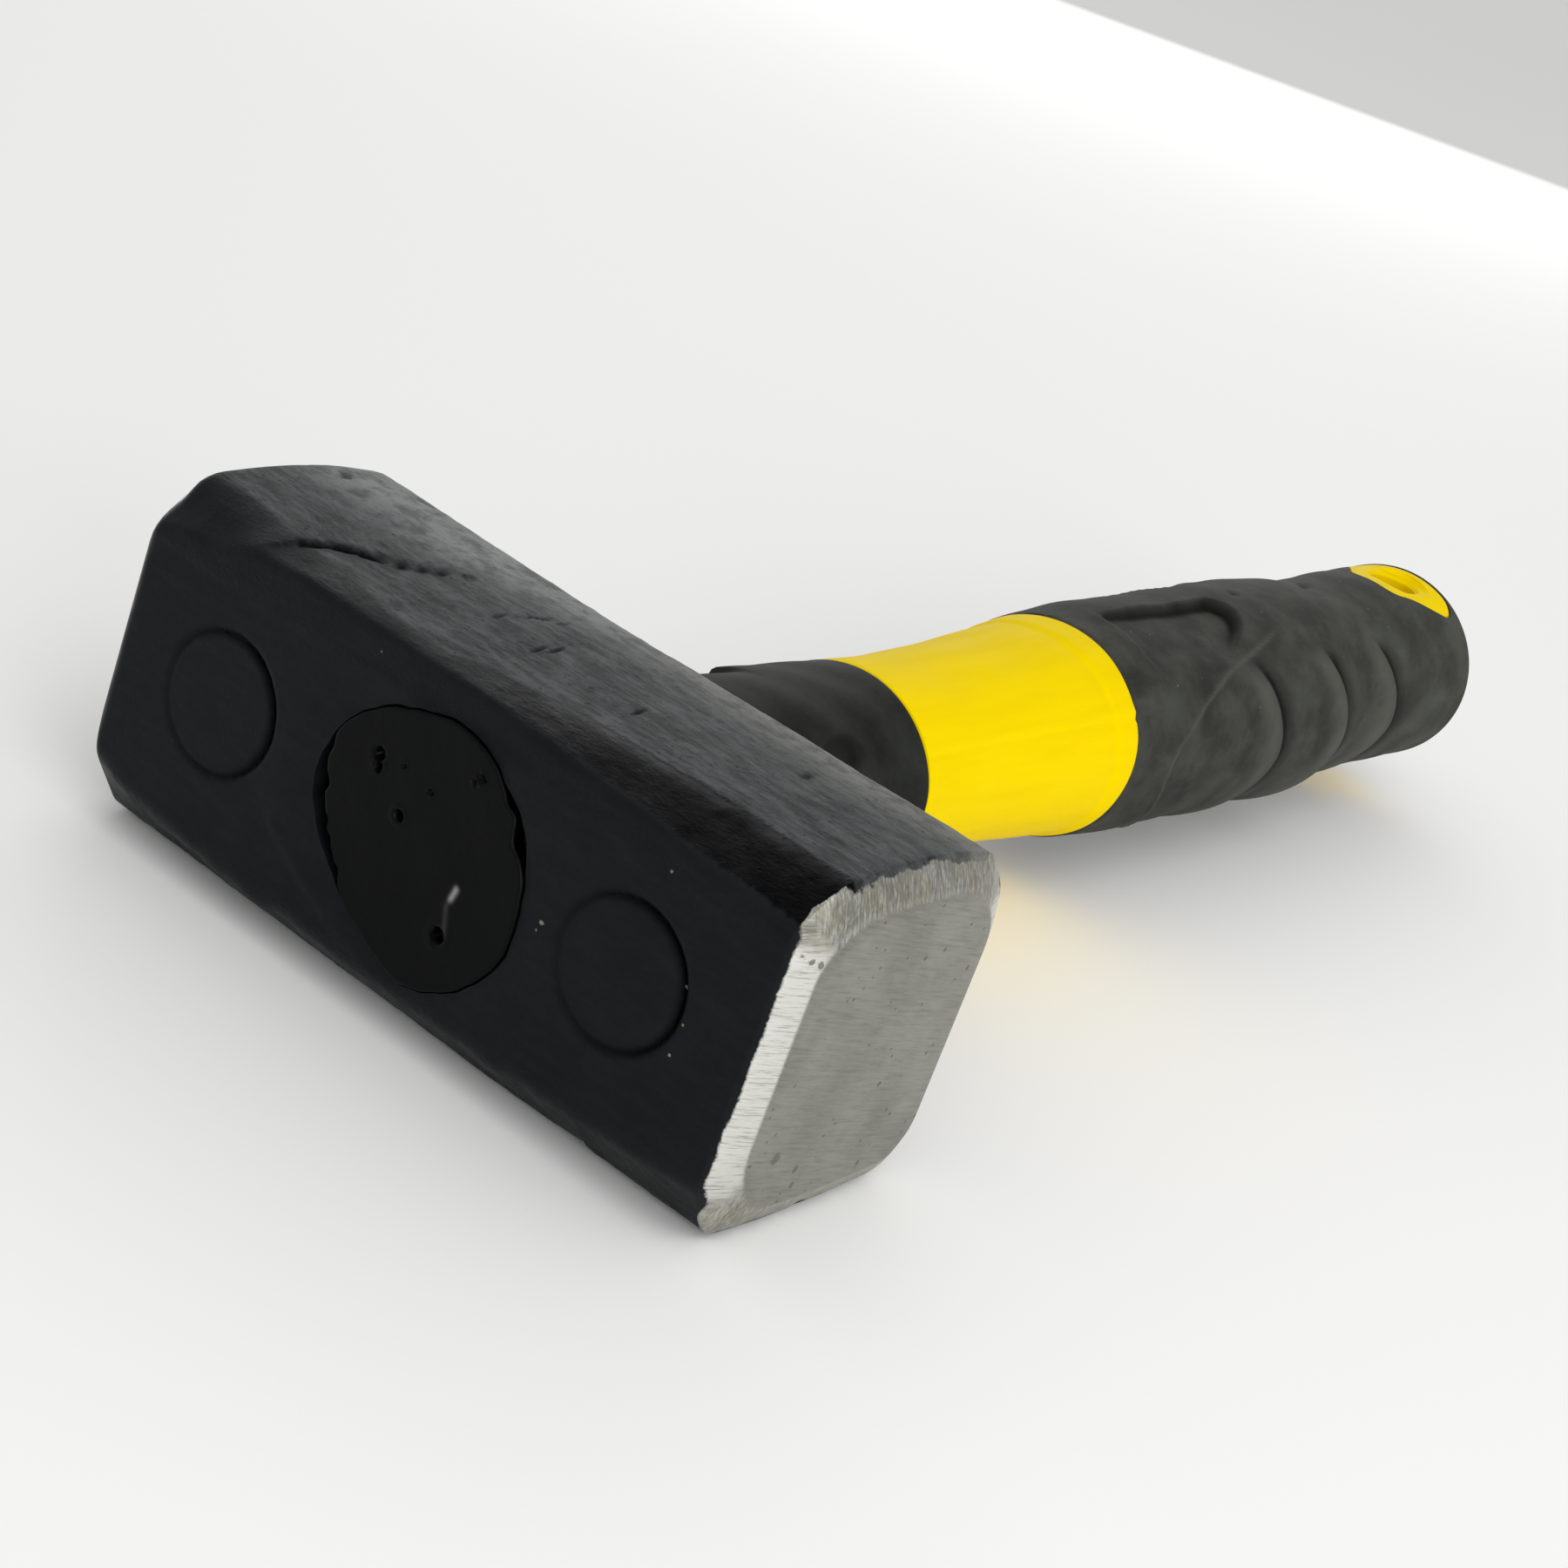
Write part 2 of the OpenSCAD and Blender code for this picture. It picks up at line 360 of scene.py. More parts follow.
def runTree(piece, tree, values):
    # the tree's named inputs are set by identifier, then the result becomes the piece's mesh
    step = piece.modifiers.new(tree.name, "NODES")
    step.node_group = tree
    for item in tree.interface.items_tree:
        if item.item_type == "SOCKET" and item.in_out == "INPUT" and item.name in values:
            step[item.identifier] = values[item.name]
    settle(piece)
    piece.data.materials.clear()
    piece.data.materials.append(values["Finish"])
    piece.data.polygons.foreach_set("material_index", [0] * len(piece.data.polygons))
    return piece


def openTree(name, inputs):
    tree = bpy.data.node_groups.new(name, "GeometryNodeTree")
    tree.interface.new_socket("Geometry", in_out="INPUT", socket_type="NodeSocketGeometry")
    kinds = {float: "NodeSocketFloat", int: "NodeSocketInt", bpy.types.Material: "NodeSocketMaterial"}
    for label, value in inputs.items():
        kind = bpy.types.Material if value is None else type(value)
        socket = tree.interface.new_socket(label, in_out="INPUT", socket_type=kinds[kind])
        if value is not None:
            socket.default_value = value
    tree.interface.new_socket("Geometry", in_out="OUTPUT", socket_type="NodeSocketGeometry")
    desk = Desk(tree)
    start = tree.nodes.new("NodeGroupInput")
    named = {s.name: Wire(desk, s) for s in start.outputs if s.name}
    return tree, desk, named


def closeTree(desk, geometry, material):
    real = desk.add("GeometryNodeRealizeInstances", None, {"Geometry": geometry})
    done = desk.add("GeometryNodeSetMaterial", None, {"Geometry": real, "Material": material})
    end = desk.tree.nodes.new("NodeGroupOutput")
    desk.tree.links.new(done.socket, end.inputs[0])


lacquer = {
    "colour": (0.0036, 0.0047, 0.0056, 1.0),
    # the cheek tone stands for dusty forging scale together with a painted reflection of grazing light
    "scaleAndSheenColour": (0.080, 0.087, 0.088, 1.0),  # dusty forging scale on the cheeks
    # painted highlight: paler tones for light on the cheek towards the handle's side and the far end
    "backEdgeHighlight": (0.225, 0.222, 0.200, 1.0),  # paler where the cheek turns to the handle's side
    "farBackEdgeHighlight": (0.235, 0.248, 0.248, 1.0),
    "steel": (0.300, 0.300, 0.268, 1.0),
    "dullSteel": (0.250, 0.250, 0.222, 1.0),
    "bevel": (0.70, 0.695, 0.66, 1.0),
    "dark": (0.13, 0.125, 0.105, 1.0),
    "oxide": (0.36, 0.315, 0.19, 1.0),
    "bareFrom": (2.0, 0.7),  # how far the lacquer stops short of each striking face
    "ragged": 1.1,
    "gloss": 0.37,
    "specular": 0.085,
    # painted shade colour for the near long edge and the hollows
    "shadeBlack": (0.0, 0.0, 0.0, 1.0),
    "lintAndGlintColour": (0.25, 0.235, 0.18, 1.0),
    # pits in the ground face, and lint in the lacquer, some of it painted glints of light in a pad groove and beside
    # the pool: place, radius
    "nicks": [
        (-11.8, -53.5, -11.6, 0.95), (-6.5, -53.5, -14.4, 0.6), (-5.9, -53.5, -16.7, 0.5), (2.6, -53.5, -20.4, 0.45),
        (7.9, -53.5, -17.4, 0.45), (5.3, -53.5, -5.8, 0.45), (8.2, -53.5, 11.6, 0.35), (4.3, -53.5, 11.2, 0.4),
        (15.7, -53.5, 7.7, 0.4), (-20.4, -52.6, 15.2, 0.7), (-18.9, -52.9, 14.6, 0.55), (-17.6, -53.1, 14.2, 0.5),
        (9.5, 53.5, -6.0, 0.8), (-4.5, 53.5, 9.5, 0.6), (-10.0, 53.5, -13.0, 0.5),
    ],
    "lintAndGlints": [
        (-22.1, -20.8, 1.7, 0.42), (-22.1, -20.4, 0.6, 0.3), (-21.9, -34.5, 16.0, 0.28), (-22.1, 30.5, 3.0, 0.2),
        (-22.1, 12.0, 19.0, 0.18), (-21.4, -40.9, 5.1, 0.26), (-22.0, -42.4, 1.3, 0.20), (-22.0, -42.1, -2.7, 0.24),
    ],
}


def makeLacquer():
    f = Finish("blackLacquerOverSteel")
    p = f.place
    x, y, z = f.parts(p)
    end = abs(y)
    hairs = f.stretched(p, (0.3, 1.7, 0.3), 0.9, 4.0, 0.65) - 0.5
    cheek = (f.painted("cheek") + hairs * 1.0).rise(0.25, 0.90)
    # painted shade: hollows and the near long edge are darkened to black, with metallic raised there to drop the
    # diffuse light
    hollowShade = f.painted("hollowShade")
    paintedShade = (f.painted("paintedShade") + hairs * 1.1).rise(0.35, 0.75).most(hollowShade)
    onTop = abs(z).rise(halfHeight - 6.5, halfHeight - 3.5)
    wander = (f.noise(p, 0.22, 2.0, 0.5) - 0.5) * (lacquer["ragged"] * (0.5 + 1.0 * onTop))
    flecks = (f.noise(p, 1.3, 3.0, 0.6) - 0.5) * (lacquer["ragged"] * (0.35 + 0.25 * onTop))
    near, far = lacquer["bareFrom"]
    edge = halfLength - near + (near - far) * y.sum("GREATER_THAN", 0.0)
    corner = abs(x).rise(halfDepth - 9.0, halfDepth - 4.5) * onTop * 0.9
    bare = (end - edge + wander + flecks + corner).rise(-0.10, 0.10)
    flat = end.rise(halfLength - 0.35, halfLength - 0.12)

    # ground steel: strokes across the bevels, fine slanting strokes on the flat
    upDown = f.stretched(p, (4.0, 0.12, 0.8), 0.9, 5.0, 0.72)
    sideways = f.stretched(p, (0.3, 0.16, 5.5), 0.9, 4.0, 0.70)
    onEdge = (abs(z) - abs(x)).rise(-2.0, 1.0)
    across = f.between(onEdge, sideways, upDown)
    slant = f.join(x * 0.14 - z * 0.034, y, z * 2.1 + x * 0.51)
    fine = f.noise(slant, 1.1, 5.0, 0.75)
    strokes = f.between(flat, across, fine)
    clouds = f.noise(p, 0.12, 3.0, 0.55)
    tone = f.blend(clouds.rise(0.35, 0.7), lacquer["steel"], lacquer["dullSteel"])
    # painted highlight: the ground bevels on the eye's side and the handle's side are made paler than the flat
    bevelHighlight = (1.0 - flat) * abs(x).rise(halfDepth - 7.0, halfDepth - 4.0)
    tone = f.blend(bevelHighlight, tone, lacquer["bevel"])
    rim = f.near(end, halfLength - 0.45, 0.30)
    tone = f.blend(rim * 0.35, tone, lacquer["bevel"])
    stain = f.stretched(p, (0.5, 0.16, 0.5), 0.8, 4.0, 0.6).rise(0.42, 0.62)
    topEdge = abs(z).rise(halfHeight - 8.5, halfHeight - 5.5) * (1.0 - flat)
    tone = f.blend(stain * (0.05 + 0.55 * topEdge), tone, lacquer["oxide"])
    tone = f.blend(topEdge * 0.45, tone, lacquer["dullSteel"])
    tone = f.blend(strokes.rise(0.48, 0.66) * (0.10 + 0.42 * (1.0 - flat)), tone, lacquer["bevel"])
    tone = f.blend((1.0 - strokes.rise(0.34, 0.50)) * (0.42 + 0.10 * (1.0 - flat)), tone, lacquer["dark"])
    nicks = f.spots(f.vector("MULTIPLY", p, (0.55, 0.2, 0.8)), 0.9, 0.16) * f.noise(p, 0.21, 1.0).rise(0.47, 0.60)
    nicks = nicks * flat
    nicks = nicks.most(f.dots(p, lacquer["nicks"]))
    tone = f.blend(nicks * 0.85, tone, lacquer["dark"])

    # lacquer: deep black on the sides, dusty over the rougher cheeks; the cheeks' paler tone is also a painted
    # reflection of grazing light, and the near long edge and the hollows get painted shade
    dust = f.noise(p, 0.13, 5.0, 0.62).rise(0.36, 0.70)
    drag = f.stretched(p, (0.9, 0.22, 0.9), 0.75, 6.0, 0.72)
    grain = f.stretched(p, (1.0, 0.6, 1.0), 1.9, 6.0, 0.75)
    flake = grain.rise(0.56, 0.68)
    dustAndSheen = (0.04 + 0.96 * cheek) * (0.10 + 0.55 * dust + 0.60 * drag.rise(0.40, 0.66)) * (1.0 - 0.92 * flake)
    deep = f.blend(paintedShade * 0.92, lacquer["colour"], lacquer["shadeBlack"])
    black = f.blend(dustAndSheen * (1.0 - paintedShade), deep, lacquer["scaleAndSheenColour"])
    # painted highlight on the cheek, stronger towards the handle's side and the far end
    paintedHighlight = (x + 9.0 * y.rise(0.0, 30.0)).rise(2.0, 17.0) * cheek
    paintedHighlight = paintedHighlight * (0.25 + 0.75 * f.noise(p, 0.26, 4.0, 0.65).rise(0.34, 0.60))
    highlightTone = f.blend(y.rise(-20.0, 20.0), lacquer["backEdgeHighlight"], lacquer["farBackEdgeHighlight"])
    black = f.blend(paintedHighlight * 0.8 * (1.0 - 0.5 * flake), black, highlightTone)
    # lint, and painted glints of light in a pad groove and beside the pool
    lintAndGlints = f.dots(p, lacquer["lintAndGlints"])
    black = f.blend(lintAndGlints * 0.75, black, lacquer["lintAndGlintColour"])

    shine = lacquer["gloss"] + 0.14 * dust + 0.10 * cheek + 0.25 * hollowShade + 0.18 * flake * cheek
    steelShine = 0.30 + 0.24 * strokes + 0.10 * clouds + 0.3 * nicks
    peel = f.noise(p, 0.9, 3.0, 0.6) * 0.035 + f.noise(p, 4.5, 2.0, 0.6) * 0.014
    craters = f.spots(p, 0.55, 0.20) * f.noise(p, 0.25, 2.0).rise(0.48, 0.60) * 0.14
    cut = (abs(x) + abs(z)).rise(halfDepth + halfHeight - 9.0, halfDepth + halfHeight - 6.5)
    rough = 0.08 + 0.92 * cheek.most(cut)
    painted = peel + (grain * 0.20 + drag * 0.16) * rough - craters * (0.12 + cheek)
    ground = strokes * (0.035 + 0.012 * (1.0 - flat)) - nicks * 0.15
    height = f.between(bare, painted + 0.07, ground)
    return f.feed(
        Base_Color=f.blend(bare, black, tone),
        Metallic=f.between(bare, paintedShade * 0.92, 1.0 - nicks * 0.7),
        Roughness=f.between(bare, shine, steelShine),
        Specular_IOR_Level=lacquer["specular"],
        Normal=f.bump(height, mm),
    )


resin = {
    "colour": (0.0016, 0.0020, 0.0019, 1.0),
    "dust": (0.014, 0.014, 0.012, 1.0),
    "smear": (0.30, 0.30, 0.28, 1.0),
    "hollowShade": (0.0, 0.0, 0.0, 1.0),
    "gloss": 0.26,
    "specular": 0.07,
}


def makeResin():
    f = Finish("blackPottingResin")
    haze = f.noise(f.place, 0.22, 3.0, 0.6)
    dust = f.noise(f.place, 2.4, 4.0, 0.7).rise(0.62, 0.8)
    tone = f.blend(dust * 0.35, resin["colour"], resin["dust"])
    tone = f.blend(f.painted("pale") * 0.8, tone, resin["smear"])
    # painted shade in the blisters and the open gap
    tone = f.blend(f.painted("hollowShade"), tone, resin["hollowShade"])
    height = f.noise(f.place, 0.35, 2.0) * 0.10 + f.noise(f.place, 3.2, 3.0, 0.6) * 0.008
    return f.feed(
        Base_Color=tone,
        Roughness=resin["gloss"] + 0.14 * haze + 0.12 * dust,
        Specular_IOR_Level=resin["specular"],
        Normal=f.bump(height, mm),
    )


rubbers = {
    # each rubber's dark and light tone, roughness and depth of grain
    "blackGuardRubber": ((0.007, 0.0078, 0.0065, 1.0), (0.028, 0.030, 0.027, 1.0), 0.55, 0.016),
    "greyGripRubber": ((0.022, 0.0228, 0.0195, 1.0), (0.070, 0.073, 0.062, 1.0), 0.62, 0.026),
    "sealRubber": ((0.012, 0.012, 0.0115, 1.0), (0.022, 0.022, 0.020, 1.0), 0.55, 0.020),
}
rubberMarks = {
    "specks": (0.30, 0.29, 0.25, 1.0),
    "paintedHighlight": (0.115, 0.115, 0.100, 1.0),
    "hollowShade": (0.0022, 0.0022, 0.0020, 1.0),
    "specular": 0.05,
}


def makeRubber(name):
    tone, light, gloss, grain = rubbers[name]
    f = Finish(name)
    p = f.place
    mottle = f.noise(p, 0.10, 4.0, 0.6)
    bloom = f.stretched(p, (0.5, 1.0, 1.0), 0.22, 5.0, 0.65).rise(0.45, 0.78)
    fine = f.noise(p, 4.2, 4.0, 0.65)
    pores = f.spots(p, 0.9, 0.10) * f.noise(p, 0.3, 1.0).rise(0.52, 0.6)
    x = f.parts(p)[0]
    butt = x.rise(gripStart + 20, buttEnd - 20) * 0.22
    shade = f.blend(0.65 * mottle.rise(0.30, 0.70) + 0.30 * bloom + butt, tone, light)
    shade = f.blend(fine.rise(0.35, 0.8) * 0.22, shade, light)
    specks = f.spots(f.vector("ADD", p, (7.0, 3.0, 1.0)), 0.24, 0.045) * f.noise(p, 0.12, 0.0).rise(0.5, 0.62)
    shade = f.blend(specks * 0.55, shade, rubberMarks["specks"])
    # painted highlight on ridges and painted shade in hollows
    shade = f.blend(f.painted("paintedHighlight") * 0.40, shade, rubberMarks["paintedHighlight"])
    shade = f.blend(f.painted("hollowShade") * 0.92, shade, rubberMarks["hollowShade"])
    height = fine * grain + f.noise(p, 0.55, 3.0) * 0.035 - pores * 0.05
    return f.feed(
        Base_Color=shade,
        Roughness=gloss + 0.14 * mottle - 0.06 * fine,
        Specular_IOR_Level=rubberMarks["specular"],
        Normal=f.bump(height, mm),
    )


yellow = {
    "colour": (0.88, 0.645, 0.0, 1.0),
    "deep": (0.78, 0.560, 0.0, 1.0),
    "scuff": (0.66, 0.48, 0.02, 1.0),
    "specular": 0.008,
}


def makeYellow():
    f = Finish("yellowMouldedPlastic")
    p = f.place
    flow = f.stretched(p, (0.12, 1.0, 1.0), 0.35, 3.0, 0.5)
    cloud = f.noise(p, 0.06, 2.0, 0.5)
    tone = f.blend(flow.rise(0.35, 0.75) * 0.35 + cloud * 0.35, yellow["colour"], yellow["deep"])
    grime = f.noise(p, 0.8, 5.0, 0.7).rise(0.60, 0.85)
    x = f.parts(p)[0]
    byRims = (1.0 - abs(x - bandStart).rise(0.2, 1.5)).most(1.0 - abs(x - gripStart).rise(0.3, 2.2))
    tone = f.blend(grime * (0.20 + 0.45 * byRims), tone, yellow["scuff"])
    peel = f.noise(p, 1.4, 3.0, 0.55) * 0.014 + f.noise(p, 6.0, 2.0) * 0.005
    return f.feed(
        Base_Color=tone,
        Roughness=0.36 + 0.12 * flow + 0.18 * grime,
        Specular_IOR_Level=yellow["specular"],
        Normal=f.bump(peel + flow * 0.05, mm),
    )


fibreglass = {"resinRich": (0.62, 0.55, 0.30, 1.0), "glassRich": (0.80, 0.76, 0.58, 1.0)}


def makeFibreglass():
    f = Finish("pultrudedFibreglass")
    p = f.place
    strands = f.stretched(p, (0.04, 3.0, 3.0), 1.2, 4.0, 0.7)
    tone = f.blend(strands.rise(0.3, 0.7), fibreglass["resinRich"], fibreglass["glassRich"])
    return f.feed(Base_Color=tone, Roughness=0.42 + 0.2 * strands, Normal=f.bump(strands * 0.06, mm))


printStage("finishes")
lacquerFinish = makeLacquer()
resinFinish = makeResin()
guardFinish, gripFinish, sealFinish = (makeRubber(name) for name in rubbers)
yellowFinish = makeYellow()
fibreglassFinish = makeFibreglass()


forging = {
    "soft": 1.5,  # how far each edge of the octagon is rounded back
    "nearBevel": 2.6,  # depth of the ground bevel of the striking face that shows most
    "farBevel": 3.0,
    "nearFlat": (0.80, 2.4, -1.3),  # flat against the section, and where its middle sits
    "farFlat": (0.88, 0.0, 10.0),
    "crown": 0.12,  # dome of each striking face
    # lower and upper edge of the eye's side, and where the cheek begins, along the head
    "lowerEdge": [
        (-53.5, -14.4), (-39, -15.8), (-20, -16.8), (2, -17.5), (22, -17.7), (34, -17.0), (44, -16.0), (53.5, -13.6),
    ],
    "upperEdge": [
        (-53.5, 17.6), (-40, 18.6), (-26, 19.8), (-12, 20.8), (0, 21.4), (24, 21.5), (34, 20.6), (44, 18.4),
        (53.5, 16.4),
    ],
    "cheekEdge": [
        (-53.5, 14.4), (-34, 14.2), (-20, 15.4), (-6, 16.8), (1, 17.6), (6, 19.9), (14, 19.8), (24, 17.8), (34, 16.4),
        (44, 15.4), (53.5, 15.2),
    ],
    "lowCorner": [(-53.5, 18.6), (-44, 17.6), (-30, 16.0), (53.5, 15.75)],
    "padPlaces": [(-32.6, 2.0), (33.1, 1.4)],
    "padRadius": 8.8,
    "padGroove": 0.75,
    # what the trimmed flash left on the lower edge: place along the head, width, height
    "flash": [(20.5, 2.4, 0.55), (27, 3.0, 0.35), (-19.4, 2.2, 0.45), (15.5, 2.6, -0.5)],
    "cheekFall": 0.0727,  # draft of the cheek towards the eye's side
    "farLift": 0.8,  # how much higher the far half of the upper cheek stands
    "crack": [
        (-16.4, 32.8), (-13.1, 31.2), (-10.7, 29.0), (-9.2, 26.8), (-7.0, 24.7), (-5.0, 23.3), (-2.4, 21.6),
    ],
    "seams": [
        ([(0.4, 52.2), (3.0, 50.2), (5.2, 47.2)], 0.55, 0.34),
        ([(-5.6, 10.3), (-1.2, 9.1), (3.2, 6.4)], 0.40, 0.16),
        ([(8.0, 11.9), (8.0, 11.3)], 0.55, 0.35),
        ([(13.6, 41.6), (14.2, 40.2)], 0.60, 0.40),
        ([(-9.0, -12.0), (-6.5, -14.5)], 0.45, 0.18),
        ([(2.0, -30.0), (3.4, -33.0)], 0.40, 0.20),
        ([(-7.5, 2.0), (-4.0, 0.6)], 0.40, 0.15),
    ],
}


def sectionCorners(y):
    # corners of the drafted octagon at each place along the head, eye's side first
    one = np.ones_like(y)
    low = readTable(forging["lowerEdge"], y)
    high = readTable(forging["upperEdge"], y)
    cheek = readTable(forging["cheekEdge"], y)
    lowCorner = readTable(forging["lowCorner"], y)
    fall = forging["cheekFall"]
    corners = [
        (-halfDepth * one, low),
        (-halfDepth * one, high),
        (-cheek, halfHeight - fall * (cheek - 5)),
        (-5 * one, halfHeight * one),
        (5 * one, halfHeight * one),
        (16 * one, (halfHeight - 1.5) * one),
        (halfDepth * one, 15.75 * one),
        (halfDepth * one, -lowCorner),
        ((halfDepth - 6 + 0.8 * (lowCorner - 15.75)), -(halfHeight - 1.5 + 0.4 * (lowCorner - 15.75))),
        (5 * one, -halfHeight * one),
        (-5 * one, -halfHeight * one),
        (-16 * one, -(halfHeight - 0.8) * one),
    ]
    return np.array(corners).transpose(2, 0, 1)


sideSteps = [80, 9, 20, 15, 17, 6, 24, 6, 9, 8, 9, 12]  # points along each side of the octagon
softness = [1.0, 0.8, 1.1, 3.4, 3.4, 1.3, 1.6, 1.6, 1.3, 3.4, 3.4, 1.1]


def roundedSection(corners, factor):
    rings = []
    count = corners.shape[1]
    starts, ends, arcs = [], [], []
    for k in range(count):
        here, before, after = corners[:, k], corners[:, k - 1], corners[:, (k + 1) % count]
        back, ahead = before - here, after - here
        backLength = np.linalg.norm(back, axis=1, keepdims=True)
        aheadLength = np.linalg.norm(ahead, axis=1, keepdims=True)
        reach = np.minimum(forging["soft"] * softness[k] * factor, 0.42 * np.minimum(backLength, aheadLength))
        a, b = here + back / backLength * reach, here + ahead / aheadLength * reach
        s = np.linspace(0, 1, 5)[None, :, None]
        arcs.append((1 - s) ** 2 * a[:, None] + 2 * s * (1 - s) * here[:, None] + s**2 * b[:, None])
        starts.append(a)
        ends.append(b)
    for k in range(count):
        rings.append(arcs[k])
        s = (np.arange(1, sideSteps[k] + 1) / (sideSteps[k] + 1))[None, :, None]
        rings.append(ends[k][:, None] * (1 - s) + starts[(k + 1) % count][:, None] * s)
    return np.concatenate(rings, axis=1)


def forgedRings():
    step = 0.44
    near, far = forging["nearBevel"], forging["farBevel"]
    body = np.arange(-halfLength + near, halfLength - far + step / 2, step)
    nearT, farT = np.linspace(1, 0, 9)[:-1], np.linspace(0, 1, 10)[1:]
    y = np.concatenate([-halfLength + near * (1 - nearT), body, halfLength - far * (1 - farT)])
    grind = np.concatenate([nearT, np.zeros(len(body)), farT])
    factor = (1 + 1.6 * grind)[:, None]
    ring = roundedSection(sectionCorners(y), factor)
    scale, middle = np.ones(len(y)), np.zeros((len(y), 2))
    for mask, (size, mx, mz) in ((y < 0, forging["nearFlat"]), (y > 0, forging["farFlat"])):
        shrink = grind**1.3
        scale = np.where(mask, 1 - (1 - size) * shrink, scale)
        middle = np.where(mask[:, None], np.array([mx, mz])[None, :], middle)
    ring = middle[:, None] + (ring - middle[:, None]) * scale[:, None, None]
    rings = [np.dstack([ring[..., 0], np.broadcast_to(y[:, None], ring.shape[:2]), ring[..., 1]])]
    inward = np.linspace(1, 0.03, 18)[1:]
    for end, (size, mx, mz) in ((0, forging["nearFlat"]), (-1, forging["farFlat"])):
        face = []
        rim = rings[0][end]
        for s in inward:
            flat = rim.copy()
            flat[:, 0] = mx + (rim[:, 0] - mx) * s
            flat[:, 2] = mz + (rim[:, 2] - mz) * s
            flat[:, 1] += np.sign(rim[0, 1]) * forging["crown"] * (1 - s * s)
            face.append(flat)
        rings.append(np.array(face))
    return np.concatenate([rings[1][::-1], rings[0], rings[2]])


pool = {
    # rim of the poured pool on the eye's side: along the head, up
    "rim": [
        (16.3, 1.0), (15.8, 5.5), (13.6, 9.6), (10.2, 12.8), (6.0, 15.0), (1.8, 16.3), (-2.2, 16.9), (-6.4, 15.9),
        (-10.0, 13.6), (-13.4, 11.0), (-15.4, 8.2), (-16.6, 4.8), (-17.5, 1.2), (-17.7, -2.6), (-16.9, -6.6),
        (-14.4, -10.4), (-11.4, -13.2), (-8.0, -14.9), (-4.4, -15.7), (-1.0, -14.9), (2.9, -13.2), (6.8, -10.9),
        (10.4, -8.3), (13.4, -5.4), (15.4, -2.4),
    ],
    "middle": (-0.8, 0.4),
    "proud": 0.35,
    "sunk": 2.2,  # depth of the open gap beside the resin
    # open gaps left beside the resin: where round the rim, how long, how wide
    "gaps": [
        (0.02, 0.20, 2.2), (-0.34, 0.22, 2.0), (-0.68, 0.16, 1.1), (0.30, 0.10, 0.6),
        (2.62, 0.13, 1.5), (2.33, 0.10, 0.7),
    ],
    "blisters": [
        (7.9, 7.9, 0.75, 0.55), (7.5, 6.4, 0.5, 0.45), (2.6, 2.6, 0.62, 0.5), (-7.9, -7.4, 0.85, 0.7),
        (-7.1, 12.6, 0.4, 0.3), (-6.3, 11.6, 0.32, 0.25), (-0.8, 7.5, 0.3, 0.22), (3.9, 8.4, 0.3, 0.2),
    ],
    "smear": [(-8.4, -1.0), (-7.8, -3.6), (-8.8, -6.8)],
    "beads": 34,
    "beadSize": 0.16,
    "seed": 11,
}
spokes = 168
spokeAngles = np.linspace(0, 2 * np.pi, spokes, endpoint=False)


def rimRadius(angle):
    rim = np.array(pool["rim"]) - np.array(pool["middle"])
    turn = np.arctan2(rim[:, 1], rim[:, 0])
    order = np.argsort(turn)
    turn, radius = turn[order], np.hypot(*rim.T)[order]
    turn = np.concatenate([turn - 2 * np.pi, turn, turn + 2 * np.pi])
    return np.interp(angle, turn, np.tile(radius, 3))


def spokeRing(radius, x, middle=None):
    # points round the eye's axis, at the same angles for every ring
    angle = spokeAngles
    my, mz = pool["middle"] if middle is None else middle
    radius = np.broadcast_to(radius, angle.shape)
    return np.column_stack([np.broadcast_to(x, angle.shape), my + radius * np.cos(angle), mz + radius * np.sin(angle)])


def eyeRing(x, spare):
    # the tapered eye inside the head, a little wider along the head than across it
    outer = (resinHigh.z - resinLow.z) / 2 / mm - 0.2
    widen = (resinHigh.y - resinLow.y) / 2 / mm - outer - 0.2
    radius = outer - 2.5 * (x + halfDepth) / (2 * halfDepth) + spare
    return spokeRing(radius + widen * np.abs(np.cos(spokeAngles)), x, (0.0, 0.0))


def unevenLine(angle, size, waves):
    # an uneven line round a ring, the same on every run
    total = np.zeros_like(angle)
    for turns, phase, share in waves:
        total += share * np.sin(turns * angle + phase)
    return total * size


rimWaves = [(3, 0.4, 0.5), (7, 2.1, 0.5), (13, 1.0, 0.6), (23, 4.2, 0.5), (37, 0.3, 0.35)]  # turns, phase, share


def pouredRim():
    return rimRadius(spokeAngles) + unevenLine(spokeAngles, 0.10, rimWaves)


